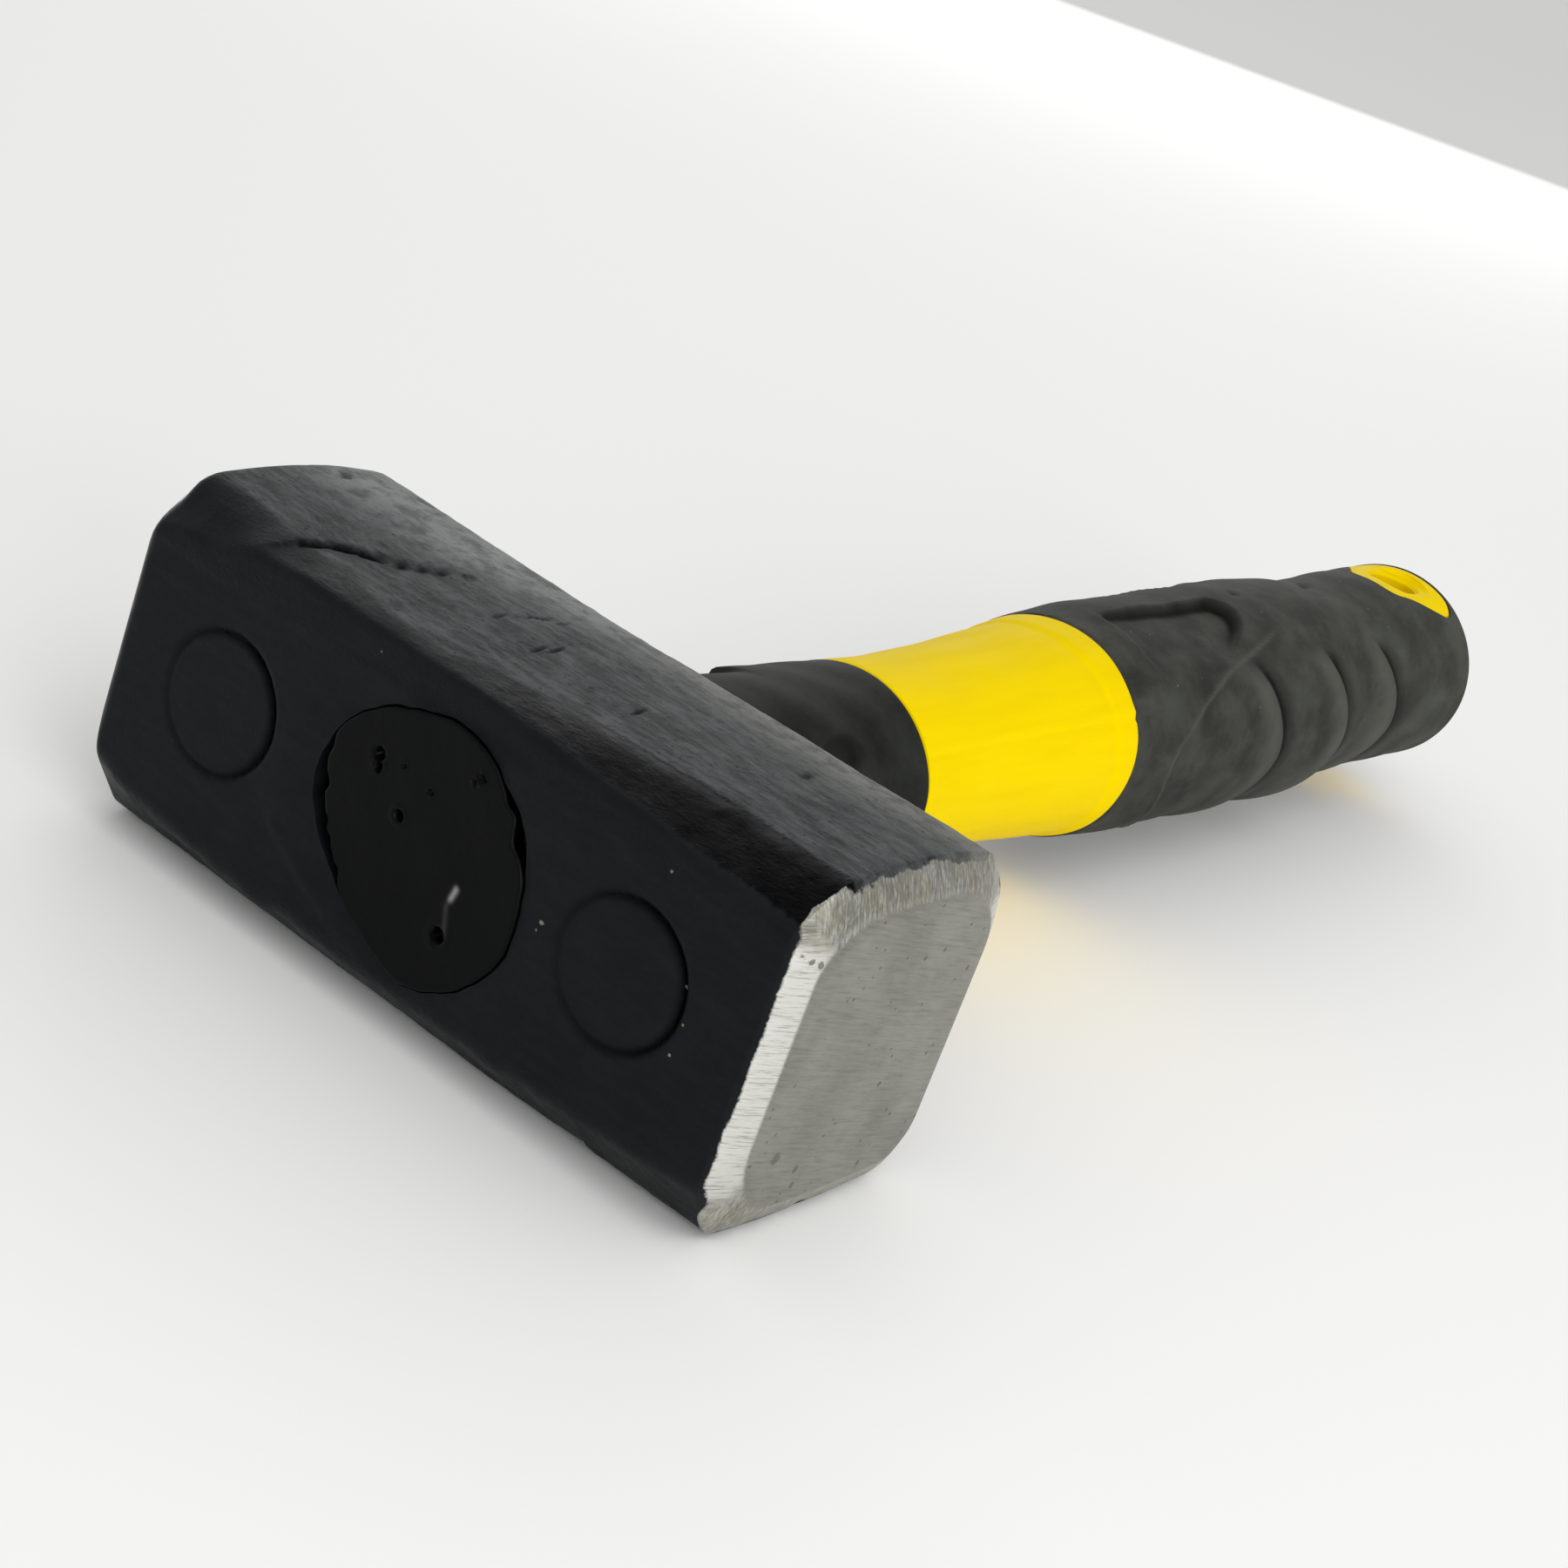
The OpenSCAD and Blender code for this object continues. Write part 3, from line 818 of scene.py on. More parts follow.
def shapeHead(points):
    x, y, z = points.T.copy()
    out = points.copy()
    side = ease((-x - halfDepth + 2.0) / 1.6) * ease((halfLength - 2.0 - np.abs(y)) / 1.5)
    sink = np.zeros(len(x))
    for centreY, centreZ in forging["padPlaces"]:
        far = np.hypot(y - centreY, z - centreZ)
        turn = np.arctan2(z - centreZ, y - centreY)
        strength = 0.62 + 0.38 * np.cos(turn - 2.75)
        sink += forging["padGroove"] * strength * hump(far - forging["padRadius"], 0.42)
        sink += 0.10 * ease((forging["padRadius"] - far) / 1.2)
    # the poured rim: a shallow dish round the mouth and a raised lip under it
    my, mz = pool["middle"]
    reach = np.hypot(y - my, z - mz) - rimRadius(np.arctan2(z - mz, y - my))
    sink += 0.30 * hump(reach, 1.1) + 0.16 * hump(reach - 1.8, 2.2)
    lip, _ = awayFrom([(20.0, -7.6), (12.8, -11.6), (7.1, -14.2), (0.6, -16.2)], y, z)
    sink -= 0.28 * hump(lip, 1.1)
    scratch, _ = awayFrom([(-18.8, 12.5), (-20.5, 5.0), (-21.0, 2.0)], y, z)
    sink += 0.05 * hump(scratch, 0.4)
    out[:, 0] += sink * side

    # laps and dents in the upper cheek, and a few of the same in the lower one
    for sign in (1, -1):
        onCheek = ease((sign * z - halfHeight + 3.5) / 1.5) * ease((halfLength - 1.0 - np.abs(y)) / 1.0)
        along = y if sign > 0 else -y
        gap, face = awayFrom(forging["crack"], x, along)
        nearCrack = hump(gap, 4.5)
        ragged = 0.25 * np.sin(along * 3.1) + 0.2 * np.sin(along * 5.7 + 1.0)
        drop = 0.55 * hump(gap + ragged * 0.4, 0.55) + 0.14 * face * nearCrack * ease(gap / 0.6)
        for path, depth, width in forging["seams"]:
            far, _ = awayFrom(path, x, along)
            drop += depth * hump(far, width * 1.4)
        out[:, 2] -= sign * drop * onCheek
    out[:, 2] += forging["farLift"] * ease((y - 22) / 26) * ease((z - halfHeight + 4.0) / 2.0)
    # shallow hammer-like hollows left by the dies
    swell = np.sin(y * 0.115 + 0.7) * np.cos(x * 0.16 + y * 0.05) * 0.28
    calm = ease((halfLength - 4.5 - np.abs(y)) / 5.0)
    out[:, 2] += np.sign(z) * swell * calm * ease((np.abs(z) - halfHeight + 3.0) / 2.0) * 0.6
    # the lower edge of the eye's side is uneven where the flash was trimmed
    edge = hump(np.hypot(x + halfDepth - 1.0, z + 17.6), 3.2)
    bumps = sum(size * hump(y - at, wide) for at, wide, size in forging["flash"])
    out[:, 2] -= edge * bumps * calm
    out[:, 2] = np.maximum(out[:, 2], -halfHeight)
    return out


def makeForgedSkin():
    tree, desk, named = openTree(
        "forgedSkin",
        {
            "Half Length": 0.05, "Calm Width": 0.004, "Wobble": 0.0002, "Ripple": 0.0001, "Grain": 0.00005,
            "Wobble Size": 60.0, "Ripple Size": 260.0, "Grain Size": 900.0, "Seed": 3.0, "Finish": None,
        },
    )
    place = desk.add("GeometryNodeInputPosition")
    normal = desk.add("GeometryNodeInputNormal")
    nx, _, nz = desk.parts(normal)
    _, y, _ = desk.parts(place)
    slopes = abs(nz).most((nx * nz).sum("ABSOLUTE") * 2.2).least(1.0)
    calm = (named["Half Length"] - abs(y)).rise(0.0, named["Calm Width"])

    def layer(size, detail, rough):
        node = desk.add(
            "ShaderNodeTexNoise",
            {"noise_dimensions": "4D"},
            {"Vector": place, "W": named["Seed"], "Scale": size, "Detail": detail, "Roughness": rough},
        )
        return node - 0.5

    height = layer(named["Wobble Size"], 2.0, 0.5) * named["Wobble"] * (0.5 + slopes)
    height = height + layer(named["Ripple Size"], 4.0, 0.6) * named["Ripple"] * (0.12 + slopes * 0.9)
    height = height + layer(named["Grain Size"], 3.0, 0.6) * named["Grain"] * (0.10 + slopes * 0.9)
    move = desk.scaled(normal, height * calm)
    moved = desk.add("GeometryNodeSetPosition", None, {"Geometry": named["Geometry"], "Offset": move})
    closeTree(desk, moved, named["Finish"])
    return tree


def makeHead():
    printStage("head forging")
    mesh = ringMesh("headForging", forgedRings())
    setMeshPoints(mesh, shapeHead(meshPoints(mesh)))
    head = newPiece("headForging", mesh)
    runTree(
        head,
        makeForgedSkin(),
        {
            "Half Length": (halfLength - forging["nearBevel"]) * mm, "Calm Width": 3.5 * mm, "Wobble": 0.42 * mm,
            "Ripple": 0.34 * mm, "Grain": 0.20 * mm, "Wobble Size": 55.0, "Ripple Size": 240.0, "Grain Size": 850.0,
            "Seed": 3.0, "Finish": lacquerFinish,
        },
    )
    rim = pouredRim()
    eye = ringMesh(
        "eyeTool",
        [
            spokeRing(rim + 0.5, -halfDepth - 2.0), spokeRing(rim + 0.02, -halfDepth + 0.4),
            spokeRing(rim, -halfDepth + 3.4), eyeRing(-halfDepth + 3.6, 0.0), eyeRing(halfDepth + 1.0, 0.0),
        ],
    )
    boolean(head, newPiece("eyeTool", eye), "DIFFERENCE")
    head.data.shade_smooth()
    points = meshPoints(head.data)
    x, y, z = points.T
    edge = np.where(z > 0, readTable(forging["cheekEdge"], y), 16.0)
    onLand = ease((x + edge + 0.2) / 2.4) * ease((np.abs(z) - halfHeight + 4.5) / 1.5)
    paint(head, "cheek", onLand)
    # painted shade: the long edge above the eye is darkened towards the near end
    onCut = ease((x + halfDepth - 0.3) / 1.4) * (1 - onLand) * (z > 0) * (x < 0)
    paint(head, "paintedShade", onCut * ease((10 - y) / 22) * 0.85)
    # painted shade in the pad grooves, heavier on one side of each ring, and in the crack and seams
    hollowShade = np.zeros(len(x))
    onSide = ease((-x - halfDepth + 2.6) / 1.0)
    for centreY, centreZ in forging["padPlaces"]:
        far = np.hypot(y - centreY, z - centreZ)
        strength = 0.60 + 0.40 * np.cos(np.arctan2(z - centreZ, y - centreY) - 2.75)
        hollowShade = np.maximum(hollowShade, strength * hump(far - forging["padRadius"], 0.55) * onSide)
    along = np.where(z > 0, y, -y)
    onCheek = ease((np.abs(z) - halfHeight + 4.0) / 1.0)
    hollowShade = np.maximum(hollowShade, hump(awayFrom(forging["crack"], x, along)[0], 0.6) * onCheek)
    for path, _, width in forging["seams"]:
        hollowShade = np.maximum(hollowShade, hump(awayFrom(path, x, along)[0], width * 1.2) * onCheek)
    paint(head, "hollowShade", hollowShade)
    return head


def makePool():
    printStage("resin pool")
    angle, rim = spokeAngles, pouredRim()
    gap = 0.11 + unevenLine(angle, 0.04, rimWaves[1:])
    for turn, width, deep in pool["gaps"]:
        apart = (angle - turn + np.pi) % (2 * np.pi) - np.pi
        gap = gap + deep * hump(apart, width) * (1 + 0.10 * np.sin(angle * 23) + 0.06 * np.sin(angle * 41))
    edge = rim - gap
    face = -halfDepth - pool["proud"] + 0.25
    floor = -halfDepth + pool["sunk"]
    rings = []
    for share in np.concatenate([np.linspace(0.02, 0.94, 62), [0.965, 0.985]]):
        rings.append(spokeRing(edge * share, face))
    # over the rim, down the open gap, through the eye and back along the rod
    for radius, place in (
        (edge - 0.12, face + 0.10), (edge, face + 0.45), (edge, floor - 0.3), (edge + 0.6 * (rim - edge), floor),
        (rim - 0.04, floor + 0.2), (rim - 0.04, -halfDepth + 3.38),
    ):
        rings.append(spokeRing(radius, place))
    rings += [eyeRing(-halfDepth + 3.62, -0.03), eyeRing(halfDepth, -0.03)]
    rodEnd = coreLow.x / mm - 0.02
    for radius, place in ((coreRadius + 0.02, halfDepth), (coreRadius + 0.02, rodEnd), (0.3, rodEnd)):
        rings.append(spokeRing(radius, place, (0.0, 0.0)))
    mesh = ringMesh("eyePool", np.array(rings))
    points = meshPoints(mesh)
    x, y, z = points.T.copy()
    top = ease((-halfDepth + 0.4 - x) / 0.3)
    my, mz = pool["middle"]
    share = np.hypot(y - my, z - mz) / rimRadius(np.arctan2(z - mz, y - my))
    sink = 0.22 * (1 - share**2) + 0.05 * np.sin(y * 0.5 + 1) * np.cos(z * 0.43)
    # painted shade inside the blisters, and below the top down the open gap and the eye
    hollowShade = np.zeros(len(x))
    for by, bz, radius, deep in pool["blisters"]:
        far = np.hypot(y - by, z - bz)
        rimLift = 0.10 * hump(far - radius * 1.7, radius * 0.5)
        sink += 2.2 * deep * ease((1.25 * radius - far) / (0.55 * radius)) - rimLift
        hollowShade = np.maximum(hollowShade, ease((1.2 * radius - far) / (0.4 * radius)))
    smear, _ = awayFrom(pool["smear"], y, z)
    sink -= 0.10 * hump(smear, 0.35)
    points[:, 0] += sink * top
    setMeshPoints(mesh, points)
    mesh.materials.append(resinFinish)
    piece = newPiece("eyePool", mesh)
    paint(piece, "hollowShade", np.maximum(hollowShade, 1 - top))
    paint(piece, "pale", hump(smear, 0.34) * top * (0.10 + 0.90 * ease((z + 3.1) / 0.9)))
    return piece


def makeBeadTree():
    tree, desk, named = openTree("resinBeads", {"Beads": 20.0, "Size": 0.0002, "Seed": 1, "Finish": None})
    place = desk.add("GeometryNodeInputPosition")
    x, _, _ = desk.parts(place)
    normal = desk.parts(desk.add("GeometryNodeInputNormal"))[0]
    onTop = normal.sum("LESS_THAN", -0.6) * x.sum("LESS_THAN", (-halfDepth + 0.6) * mm)
    points = desk.add(
        "GeometryNodeDistributePointsOnFaces",
        {"distribute_method": "RANDOM"},
        {"Mesh": named["Geometry"], "Selection": onTop, "Density": named["Beads"] * 1150.0, "Seed": named["Seed"]},
    )
    bead = desk.add("GeometryNodeMeshIcoSphere", None, {"Radius": 1.0, "Subdivisions": 2})
    size = desk.add(
        "FunctionNodeRandomValue", {"data_type": "FLOAT"}, {2: 0.35, 3: 1.0, "Seed": named["Seed"]}, 1
    )
    size = size * size * named["Size"]
    scale = desk.join(size * 0.55, size, size)
    spread = desk.add(
        "GeometryNodeInstanceOnPoints", None, {"Points": points, "Instance": bead, "Scale": scale}
    )
    real = desk.add("GeometryNodeRealizeInstances", None, {"Geometry": spread})
    smooth = desk.add("GeometryNodeSetShadeSmooth", None, {"Geometry": real})
    closeTree(desk, smooth, named["Finish"])
    return tree


def makeBeads(poolPiece):
    beads = newPiece("resinBeads", poolPiece.data.copy())
    return runTree(
        beads,
        makeBeadTree(),
        {"Beads": float(pool["beads"]), "Size": pool["beadSize"] * mm, "Seed": pool["seed"], "Finish": resinFinish},
    )


handle = {
    # place, half width and half height of the handle's oval where its shape turns
    "stations": [
        (guardStart, 17.16, 15.6), (bandStart + 8, 15.51, 14.1), (gripStart + 29, 20.35, 18.5),
        (gripStart + 67, 20.35, 18.5), (buttEnd - 42, 17.72, 17.2), (buttEnd - 13.5, 18.54, 18.0),
        (buttEnd, 18.54, 18.0),
    ],
    "guardWall": 2.0,
    "gripWall": 3.0,
    "buttWall": 2.0,
    "buttRound": 5.0,
    "lip": 0.5,  # how far the band drops below the rubber where they meet
}


def ovalAt(x):
    places, wide, high = np.array(handle["stations"]).T
    return readTable(list(zip(places, wide)), x), readTable(list(zip(places, high)), x)


def profileOf(rows):
    # each row is a place with its depth under the handle's skin, or a fixed radius
    made = []
    for x, depth, radius in rows:
        if radius is None:
            wide, high = ovalAt(np.array(float(x)))
            made.append((x, max(wide - depth, 0), max(high - depth, 0)))
        else:
            made.append((x, radius, radius))
    return np.array(made, float)


steps = {
    "depth": 1.45,
    "pitch": 25.2,
    "last": 222.0,  # place of the step nearest the butt
    "sweep": 11.0,  # how far each step bends back over the handle
    "bend": 1.6,
    "tilt": 0.06,
    "count": 3,
    "topLift": 0.27,  # the steps stop lower on the thumb's side
    "sideFrom": 0.34,
    "sideOver": 0.20,
}


def makeSleeveTree():
    tree, desk, named = openTree(
        "ovalSleeve",
        {
            "Rows": 2, "Around": 160, "Axis Height": 0.02, "Step Depth": 0.0, "Step Pitch": 0.025,
            "Last Step": 0.22, "Step Sweep": 0.01, "Step Count": 3.0, "Finish": None,
        },
    )
    grid = desk.add(
        "GeometryNodeMeshGrid",
        None,
        {"Size X": 1.0, "Size Y": 1.0, "Vertices X": named["Rows"], "Vertices Y": named["Around"] + 1.0},
    )
    u, v, _ = desk.parts(desk.add("GeometryNodeInputPosition"))
    row = ((u + 0.5) * (named["Rows"] - 1.0)).sum("ROUND")
    turn = v * (2 * math.pi)
    sample = desk.add(
        "GeometryNodeSampleIndex",
        {"data_type": "FLOAT_VECTOR", "domain": "POINT"},
        {"Geometry": named["Geometry"], "Value": desk.add("GeometryNodeInputPosition"), "Index": row},
    )
    x, wide, high = desk.parts(sample)
    stepped = desk.add(
        "GeometryNodeSampleIndex",
        {"data_type": "FLOAT", "domain": "POINT"},
        {
            "Geometry": named["Geometry"],
            "Value": desk.add("GeometryNodeInputNamedAttribute", {"data_type": "FLOAT"}, {"Name": "stepped"}),
            "Index": row,
        },
    )
    across, up = turn.cosine(), turn.sine()
    # finger steps: the rubber swells towards each step, drops into a narrow groove and starts again
    sweep = named["Step Sweep"] * ((up + steps["tilt"]).sum("ABSOLUTE") ** steps["bend"])
    along = (named["Last Step"] - sweep - x) / named["Step Pitch"]
    count = along.sum("ROUND").most(0.0).least(named["Step Count"] - 1.0)
    away = (along - count) * named["Step Pitch"]
    groove = (-((away / 0.0017) ** 2.0)).sum("EXPONENT")
    saw = 1.0 - away.rise(0.0, named["Step Pitch"] * 0.62)
    saw = saw * away.rise(-0.0026, 0.0014) * 0.62
    sides = abs(across) - steps["topLift"] * up.rise(-0.2, 0.3)
    sides = sides.rise(steps["sideFrom"], steps["sideFrom"] + steps["sideOver"])
    drop = (groove * 0.62 - saw) * sides * stepped * named["Step Depth"]
    place = desk.join(x, across * (wide - drop), up * (high - drop) + named["Axis Height"])
    shaped = desk.add("GeometryNodeSetPosition", None, {"Geometry": grid, "Position": place})
    merged = desk.add("GeometryNodeMergeByDistance", None, {"Geometry": shaped, "Distance": mergeWithin})
    smooth = desk.add("GeometryNodeSetShadeSmooth", None, {"Geometry": merged})
    closeTree(desk, smooth, named["Finish"])
    return tree


sleeveTree = makeSleeveTree()


def makeSleeve(name, rows, around, finish, stepRange=None):
    profile = profileOf(rows)
    mesh = bpy.data.meshes.new(name + "Profile")
    mesh.from_pydata([tuple(p * mm) for p in profile], [(i, i + 1) for i in range(len(profile) - 1)], [])
    mark = mesh.attributes.new("stepped", "FLOAT", "POINT")
    if stepRange is not None:
        low, high = stepRange
        fade = ease((profile[:, 0] - low) / 8) * ease((high - profile[:, 0]) / 6)
        fade = fade * np.array([row[1] == 0 and row[2] is None for row in rows])
        mark.data.foreach_set("value", fade)
    piece = newPiece(name, mesh)
    runTree(
        piece,
        sleeveTree,
        {
            "Rows": len(profile), "Around": around, "Axis Height": axisHeight * mm,
            "Step Depth": steps["depth"] * mm, "Step Pitch": steps["pitch"] * mm, "Last Step": steps["last"] * mm,
            "Step Sweep": steps["sweep"] * mm, "Step Count": float(steps["count"]), "Finish": finish,
        },
    )
    tidyMesh(piece.data)
    return piece


def spaced(low, high, step):
    return list(np.linspace(low, high, max(2, round((high - low) / step) + 1)))


def polar(points):
    # angle round the handle from the side that faces a user's left, up towards the top cheek
    return np.degrees(np.arctan2(points[:, 2], -points[:, 1]))


def pushOut(points, amount):
    reach = np.hypot(points[:, 1], points[:, 2])
    reach = np.where(reach < 1e-6, 1, reach)
    points[:, 1] += points[:, 1] / reach * amount
    points[:, 2] += points[:, 2] / reach * amount


guard = {
    "dimples": [(45.2, 41.0), (45.2, 139.0), (45.2, -41.0), (45.2, -139.0)],
    "dimpleLong": 4.6,
    "dimpleWide": 2.5,
    "dimpleDeep": 1.0,
    "shoulder": (128, 17),  # middle and width of each, in degrees round the handle
    "notch": 43.2,  # the shoulders are cut away in front of this
}


def makeGuard():
    printStage("neck guard")
    wall = handle["guardWall"]
    start, end = guardStart, bandStart
    rows = [(start, wall, None), (start, 0.6, None), (start + 0.25, 0.15, None)]
    rows += [(x, 0, None) for x in spaced(start + 0.9, end - 0.7, 0.55)]
    rows += [(end - 0.25, 0.1, None), (end, 0.4, None), (end, wall, None)]
    rows += [(x, wall, None) for x in spaced(end - 3, start, 6)]
    piece = makeSleeve("neckGuard", rows, 208, guardFinish)
    points = meshPoints(piece.data)
    x, angle = points[:, 0].copy(), polar(points)
    wide, high = ovalAt(x)
    outside = ease((np.hypot(points[:, 1] / wide, points[:, 2] / high) - 0.93) / 0.04)
    push, hollowShade = np.zeros(len(x)), np.zeros(len(x))
    for place, tilt in guard["dimples"]:
        apart = (angle - tilt + 180) % 360 - 180
        d = np.hypot((x - place) / guard["dimpleLong"], np.radians(apart) * high / guard["dimpleWide"])
        push -= guard["dimpleDeep"] * ease((1.08 - d) / 0.34)
        # painted shade in each dimple
        hollowShade = np.maximum(hollowShade, 0.45 * ease((1.1 - d) / 0.3))
    shoulderAt, shoulderWide = guard["shoulder"]
    shoulder = hump(np.abs(angle) - shoulderAt, shoulderWide)
    push -= 1.0 * shoulder * ease((guard["notch"] - x) / 1.4) * ease((x - start - 1.0) / 1.5)
    push += 0.10 * np.sin(np.radians(angle) * 3 + x * 0.12) + 0.06 * np.sin(x * 0.5 + np.radians(angle) * 5)
    seam = (np.abs(angle) > 0) * hump((np.abs(np.abs(angle) - 90) - 90) * 0.3, 0.5)
    push += 0.08 * seam * ease((x - start) / 3)
    pushOut(points, push * outside)
    setMeshPoints(piece.data, points)
    paint(piece, "hollowShade", hollowShade)
    return piece


def makeSeal():
    printStage("eye seal")
    low, high = sealLow.x / mm, sealHigh.x / mm
    radius = (sealHigh.z - sealLow.z) / 2 / mm
    bore = coreRadius + 0.01
    middle, half = (low + high) / 2, (high - low) / 2
    rows = [(low, 0, bore)]
    rows += [(low, 0, r) for r in spaced(bore + 0.8, radius - 0.9, 0.9)]
    for turn in np.radians(np.linspace(-90, 90, 11)):
        rows.append((middle + half * math.sin(turn), 0, radius - 0.7 + 0.7 * math.cos(turn)))
    rows += [(high, 0, r) for r in spaced(radius - 0.9, bore + 0.8, 0.9)]
    rows += [(high, 0, bore), (middle, 0, bore), (low, 0, bore)]
    piece = makeSleeve("eyeSealRing", rows, 120, sealFinish)
    points = meshPoints(piece.data)
    angle = np.radians(polar(points))
    reach = ease((np.hypot(points[:, 1], points[:, 2]) - radius + 1.4) / 1.0)
    pushOut(points, reach * (0.12 * np.sin(5 * angle) + 0.08 * np.sin(11 * angle + 1)) - 0.2 * reach)
    setMeshPoints(piece.data, points)
    return piece


window = {"fore": 10.5, "aft": 8.5, "narrow": 12.0, "broad": 22.0, "corner": 4.0, "land": 6.5, "drop": 1.2}


def windowOutline(inset, count=128):
    # rounded trapezium seen from above, narrow towards the head
    corner = window["corner"]
    corners = [
        (hangPlace - window["fore"] + corner, window["narrow"] / 2 - corner),
        (hangPlace + window["aft"] - corner, window["broad"] / 2 - corner),
    ]
    centres = [corners[0], corners[1], (corners[1][0], -corners[1][1]), (corners[0][0], -corners[0][1])]
    angle = np.linspace(0, 2 * np.pi, count, endpoint=False)
    direction = np.column_stack([np.cos(angle), np.sin(angle)])
    # support of the four round corners, turned into a radius from the hang hole
    outline = []
    fine = np.linspace(0, 2 * np.pi, 720, endpoint=False)
    way = np.column_stack([np.cos(fine), np.sin(fine)])
    support = np.max(way @ np.array(centres).T, axis=1) + corner - inset
    for d in direction:
        along = way @ d
        ahead = along > 1e-3
        base = way[ahead] @ np.array([hangPlace, 0.0])
        outline.append(np.min((support[ahead] - base) / along[ahead]))
    return angle, np.array(outline)


def rubberTop(x, y):
    # height of the rubber's skin over a point, with the round butt
    wide, high = ovalAt(x)
    into = np.clip(x - (buttEnd - handle["buttRound"]), 0, handle["buttRound"])
    back = handle["buttRound"] - np.sqrt(np.maximum(handle["buttRound"] ** 2 - into**2, 0))
    wide, high = wide - back, high - back
    return high * np.sqrt(np.clip(1 - (y / wide) ** 2, 0, 1))


def bossRings(inset):
    angle, reach = windowOutline(inset)
    rings = []
    land = window["land"]
    # each ring's radius, with how far it is from the land to the window's edge
    flat = np.concatenate([np.linspace(0.2, land - 0.5, 9), [land - 0.25, land]])
    top = [(np.full_like(reach, r), 0.0) for r in flat]
    top += [(land + (reach - land) * s, s) for s in (0.04, 0.12, 0.25, 0.4, 0.55, 0.7, 0.82, 0.92, 0.97, 1.0)]
    landTop = handle["stations"][-1][2] - window["drop"]
    for r, s in top:
        x, y = hangPlace + r * np.cos(angle), r * np.sin(angle)
        skin = rubberTop(x, y) - 0.12 - 0.35 * ease((s - 0.93) / 0.07)
        level = np.minimum(skin, landTop)
        blendUp = ease(s / 0.14)
        z = level + (skin - level) * blendUp
        rings.append(np.column_stack([x, y, z]))
    under = [ring * np.array([1, 1, -1]) for ring in rings[::-1]]
    return np.array(rings + under)


def makeJacket():
    printStage("yellow jacket")
    bore = coreRadius + 0.01
    deepEnd = coreHigh.x / mm
    end = buttEnd - handle["buttWall"]
    guardWall, gripWall, lip = handle["guardWall"], handle["gripWall"], handle["lip"]
    rows = [(deepEnd, 0, 0.0), (deepEnd, 0, bore)]
    rows += [(x, 0, bore) for x in spaced(deepEnd - 8, guardStart + 6, 12)]
    rows += [(guardStart, 0, bore)]
    rows += [(x, guardWall + 0.01, None) for x in spaced(guardStart, bandStart + 0.01, 4)]
    rows += [(bandStart + 0.02, 0.55, None), (bandStart + 0.25, 0.12, None)]
    for x in spaced(bandStart + 0.6, gripStart - 0.02, 0.5):
        rows.append((x, lip * float(ease((x - bandStart) / (gripStart - bandStart))), None))
    rows += [(gripStart - 0.01 + 4.0, lip, None), (gripStart + 4.02, gripWall, None)]
    rows += [(x, gripWall + 0.01, None) for x in spaced(gripStart + 8, end - 1.0, 4)]
    rows += [(end - 0.3, gripWall + 0.3, None), (end - 0.01, gripWall + 1.2, None)]
    rows += [(end - 0.01, 9.5, None), (end - 0.01, 0, 0.0)]
    piece = makeSleeve("handleJacket", rows, 176, yellowFinish)
    points = meshPoints(piece.data)
    x, angle = points[:, 0].copy(), polar(points)
    shown = ease((x - bandStart - 0.3) / 1.0) * ease((gripStart + 0.5 - x) / 1.0)
    # mould joint along each side, and the faint ridge where the cavity ended
    push = -0.26 * hump((angle - 31) * 0.28, 0.45) + 0.16 * hump((angle - 34) * 0.28, 0.8)
    push += -0.26 * hump((np.abs(angle) - 149) * 0.28, 0.45)
    ridge = gripStart - 5.0 - 1.0 * np.sin(np.radians(angle) - 0.4)
    push += 0.28 * ease((x - ridge + 0.5) / 0.9) - 0.10 * hump(x - ridge + 1.2, 1.0)
    push += 0.05 * np.sin(x * 0.33 + np.radians(angle) * 2) + 0.04 * np.sin(np.radians(angle) * 7 + x * 0.1)
    pushOut(points, push * shown)
    setMeshPoints(piece.data, points)
    boss = newPiece("boss", ringMesh("boss", bossRings(0.12)))
    boolean(piece, boss, "UNION")
    radius = hangMount["dims"]["r_mm"]
    rings = []
    landTop = handle["stations"][-1][2] - window["drop"]
    for z, r in ((-30, radius + 0.6), (-landTop - 0.02, radius + 0.6), (-landTop + 0.55, radius), (0, radius),
                 (landTop - 0.55, radius), (landTop + 0.02, radius + 0.6), (30, radius + 0.6)):
        a = np.linspace(0, 2 * np.pi, 72, endpoint=False)
        rings.append(np.column_stack([hangPlace + r * np.cos(a), r * np.sin(a), np.full_like(a, z)]))
    boolean(piece, newPiece("hangTool", ringMesh("hangTool", rings)), "DIFFERENCE")
    return piece


grip = {
    # curved crease over the side: angle up from the side, place along the handle
    "crease": [
        (-60, 142.0), (-40, 137.0), (-18, 133.0), (-4, 131.2), (6, 131.6), (14, 133.2), (30, 141.0), (44, 152.0),
        (50, 161.0), (58, 171.0), (66, 180.0),
    ],
    "creaseHigh": 0.28,
    # sunk thumb panel over the top: from, to, near edge, far edge
    "panel": (131.5, 170.0, -10.6, 1.4),
    "panelDeep": 1.7,
    "marks": [(177.6, 1.9, 3.2, 0.8), (207.0, 2.2, 4.6, 1.0)],
    "frontLean": 1.7,
    "slimmer": (0.7, 158, 26),  # how much, where, over what length
}


